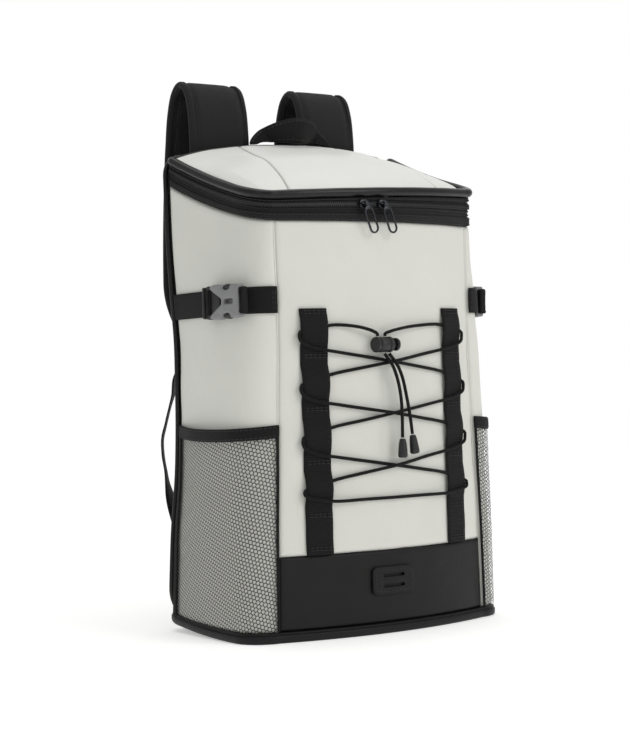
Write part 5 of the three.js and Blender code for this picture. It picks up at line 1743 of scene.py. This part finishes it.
class BackpackShoulderStraps(bpy.types.Operator):
    """Padded shoulder straps with bound edges and stitching"""
    bl_idname = "backpack.shoulder_straps"
    bl_label = "Shoulder straps"

    def execute(self, context):
        lines = []
        for name, sign in SIDES:
            line, face, half = strap_frame(90, sign)
            ring = [(-0.96, -0.22), (-0.8, -0.4), (-0.4, -0.44), (0, -0.44), (0.4, -0.44), (0.8, -0.4), (0.96, -0.22),
                    (0.96, 0.22), (0.8, 0.4), (0.4, 0.44), (0, 0.44), (-0.4, 0.44), (-0.8, 0.4), (-0.96, 0.22)]
            across = np.array([1.0, 0, 0])
            sections = [[at + across * w * h + f * t * (SHOULDER_THICK - 2.2) for w, t in ring]
                        for at, f, h in zip(line, face, half)]
            pad = sweep("strap_pad_" + name, sections, finish("black_cloth"))
            puffed(pad, 3.4, 4, 1.8)
            self.sew(pad, line, face, half)
            pad.data.materials.clear()
            pad.data.materials.append(finish("black_cloth"))
            place(pad, "bag", "black_cloth", "shoulder_strap_" + name)
            self.bind(name, line, face, half)
            lines += self.seams(pad, line, face, half)
        stitches("strap_stitching", lines)
        return {"FINISHED"}

    def sew(self, pad, line, face, half):
        """Pulls the pad in along its two stitched lines."""
        count = len(pad.data.vertices)
        co = np.empty(count * 3)
        pad.data.vertices.foreach_get("co", co)
        points = co.reshape(-1, 3) / MM
        flat = points[:, 1:]
        near = np.array([np.argmin(np.sum((line[:, 1:] - q) ** 2, axis=1)) for q in flat])
        across = np.abs(points[:, 0] - line[near, 0])
        height = np.sum((points - line[near]) * face[near], axis=1)
        groove = np.exp(-((across - (half[near] - 8.6)) / 2.4) ** 2)
        moved = points - face[near] * (np.sign(height) * 1.1 * groove)[:, None]
        pad.data.vertices.foreach_set("co", (moved * MM).ravel())

    def bind(self, name, line, face, half):
        """Flat tape folded over both edges."""
        fold = [(-1.8, 2.6), (-1.6, 3.5), (0, 3.6), (1.6, 3.3), (3.3, 2.4), (4.2, 0.9)]
        fold += [(x, -t) for x, t in fold[::-1]]
        parts = []
        for end in (-1, 1):
            edge = line.copy()
            edge[:, 0] += end * (half - 3.8)
            sections = [[at + np.array([end * x, 0, 0]) + f * t for x, t in fold] for at, f in zip(edge, face)]
            parts.append(sweep("strap_binding", sections, finish("black_cloth")))
        place(merged("strap_binding_" + name, parts), "bag", "black_cloth")

    def seams(self, pad, line, face, half):
        tree = BVHTree.FromPolygons([v.co for v in pad.data.vertices], [p.vertices[:] for p in pad.data.polygons])
        lines = []
        for end in (-1, 1):
            for side in (-1, 1):
                seam = []
                for at, f, h in zip(line[2:-2], face[2:-2], half[2:-2]):
                    start = at + np.array([end * (h - 9), 0, 0]) + f * side * 20
                    hit, _, _, _ = tree.ray_cast(Vector(start * MM), Vector(-f * side))
                    if hit is not None:
                        seam.append(np.array(hit) / MM + f * side * 0.1)
                lines.append(np.array(seam))
        return lines


class BackpackLowerWebbing(bpy.types.Operator):
    """Adjusters at the padded ends and the webbings down to the lower corners"""
    bl_idname = "backpack.lower_webbing"
    bl_label = "Lower webbing"

    def execute(self, context):
        end = strap_line(90)[-1]
        top = strap_top()
        for name, sign in SIDES:
            x = float(strap_middle(sign, 1))
            middle = (x, end[1], end[2] - 11.6)
            facing = Matrix(((1, 0, 0, 0), (0, 0, -1, 0), (0, 1, 0, 0), (0, 0, 0, 1)))
            facing.translation = Vector(middle)
            slots = [rounded(box_outline(-13, 13, at - 1.8, at + 1.8), 1.2) for at in (-5, 5)]
            adjuster = plate("adjuster_" + name, rounded(box_outline(-16.5, 16.5, -11, 11), 4), slots, 5.0, 1.2, facing,
                             finish("dark_plastic"))
            place(adjuster, "bag", "dark_plastic", "strap_adjuster_" + name)
            start = np.array([x, end[1], end[2] - 23.2])
            route = [start, start - [0, 0, 10]]
            route += [np.array([sign * BACK_HALF * a, REAR_Y + STRAP_REACH * r, top * h]) for a, r, h in LOWER_WEBBING]
            line = rail(route, count=80)
            ahead = tangents(line)
            share = np.linspace(0, 1, len(line))
            turn = WEBBING_TWIST * np.sin(math.pi / 2 * np.minimum(1, np.minimum(share / 0.35, (1 - share) / 0.3)))
            across = np.stack([np.cos(turn), -sign * np.sin(turn), 0 * turn], axis=-1)
            across = unit(across - ahead * np.sum(across * ahead, axis=1, keepdims=True))
            middle = line + 0.8 * unit(np.cross(across, ahead))
            webbing = ribbon("lower_strap_" + name, middle, across, STRAP_WIDTH, WEB_THICK, finish("black_webbing"))
            place(webbing, "bag", "black_webbing", "lower_webbing_" + name)
        return {"FINISHED"}


class BackpackHandle(bpy.types.Operator):
    """Flat grab handle standing in an arch"""
    bl_idname = "backpack.handle"
    bl_label = "Handle"

    def execute(self, context):
        turn = np.linspace(0, math.pi, 90)[:, None]
        lift = np.maximum(0, np.sin(turn)) ** 1.25
        radial = np.linspace(-0.75, 0.5, 9)[None] * HANDLE_BAND * (0.3 + 0.7 * np.sin(turn))
        x = HANDLE_X - (HANDLE_HALF + 6 * np.abs(np.cos(turn)) ** 3 + radial) * np.cos(turn)
        foot = lid_back_height(x) + 2 * BACK_PIPING - LID_DROP + 3 * GAP
        z = foot + (HANDLE_TOP + radial - foot) * lift
        y = BACK_Y + 2 * GAP - HANDLE_LEAN * np.maximum(0, (lift - 0.6) / 0.4) + 0 * x
        crease = np.exp(-((turn - 2.35 + radial * 0.02) / 0.07) ** 2) * 1.2
        front = np.stack([x, y + crease, z], axis=-1)
        back = np.stack([x, y + HANDLE_THICK, z], axis=-1)
        handle = strip("carry_handle", front, back, finish("black_webbing"))
        place(handle, "bag", "black_webbing", "grab_handle")
        lines = []
        for column in (1, 7):
            lines.append(front[:, column] + np.array([0, -0.1, 0]))
        stitches("handle_stitching", lines)
        return {"FINISHED"}


PIECES = (BackpackStage, BackpackLacing, BackpackWalls, BackpackLid, BackpackZip, BackpackBack, BackpackFrontWebbing,
          BackpackPockets, BackpackSideStraps, BackpackShoulderStraps, BackpackLowerWebbing, BackpackHandle)


class BackpackPanel(bpy.types.Panel):
    """Lists the backpack's pieces, sizes and colours"""
    bl_idname = "VIEW3D_PT_backpack"
    bl_label = "Cooler backpack"
    bl_space_type = "VIEW_3D"
    bl_region_type = "UI"
    bl_category = "Backpack"

    def draw(self, context):
        for group in (context.scene.backpack_sizes, context.scene.backpack_colours):
            box = self.layout.box()
            for name in group.__annotations__:
                box.prop(group, name)
        for piece in PIECES:
            self.layout.operator(piece.bl_idname)


CLASSES = (BackpackSizes, BackpackColours, *PIECES, BackpackPanel)


def register():
    for cls in CLASSES:
        bpy.utils.register_class(cls)
    bpy.types.Scene.backpack_sizes = PointerProperty(type=BackpackSizes)
    bpy.types.Scene.backpack_colours = PointerProperty(type=BackpackColours)


def unregister():
    del bpy.types.Scene.backpack_colours
    del bpy.types.Scene.backpack_sizes
    for cls in reversed(CLASSES):
        bpy.utils.unregister_class(cls)


def main():
    register()
    for piece in PIECES:
        group, name = piece.bl_idname.split(".")
        getattr(getattr(bpy.ops, group), name)()


if __name__ == "__main__":
    main()
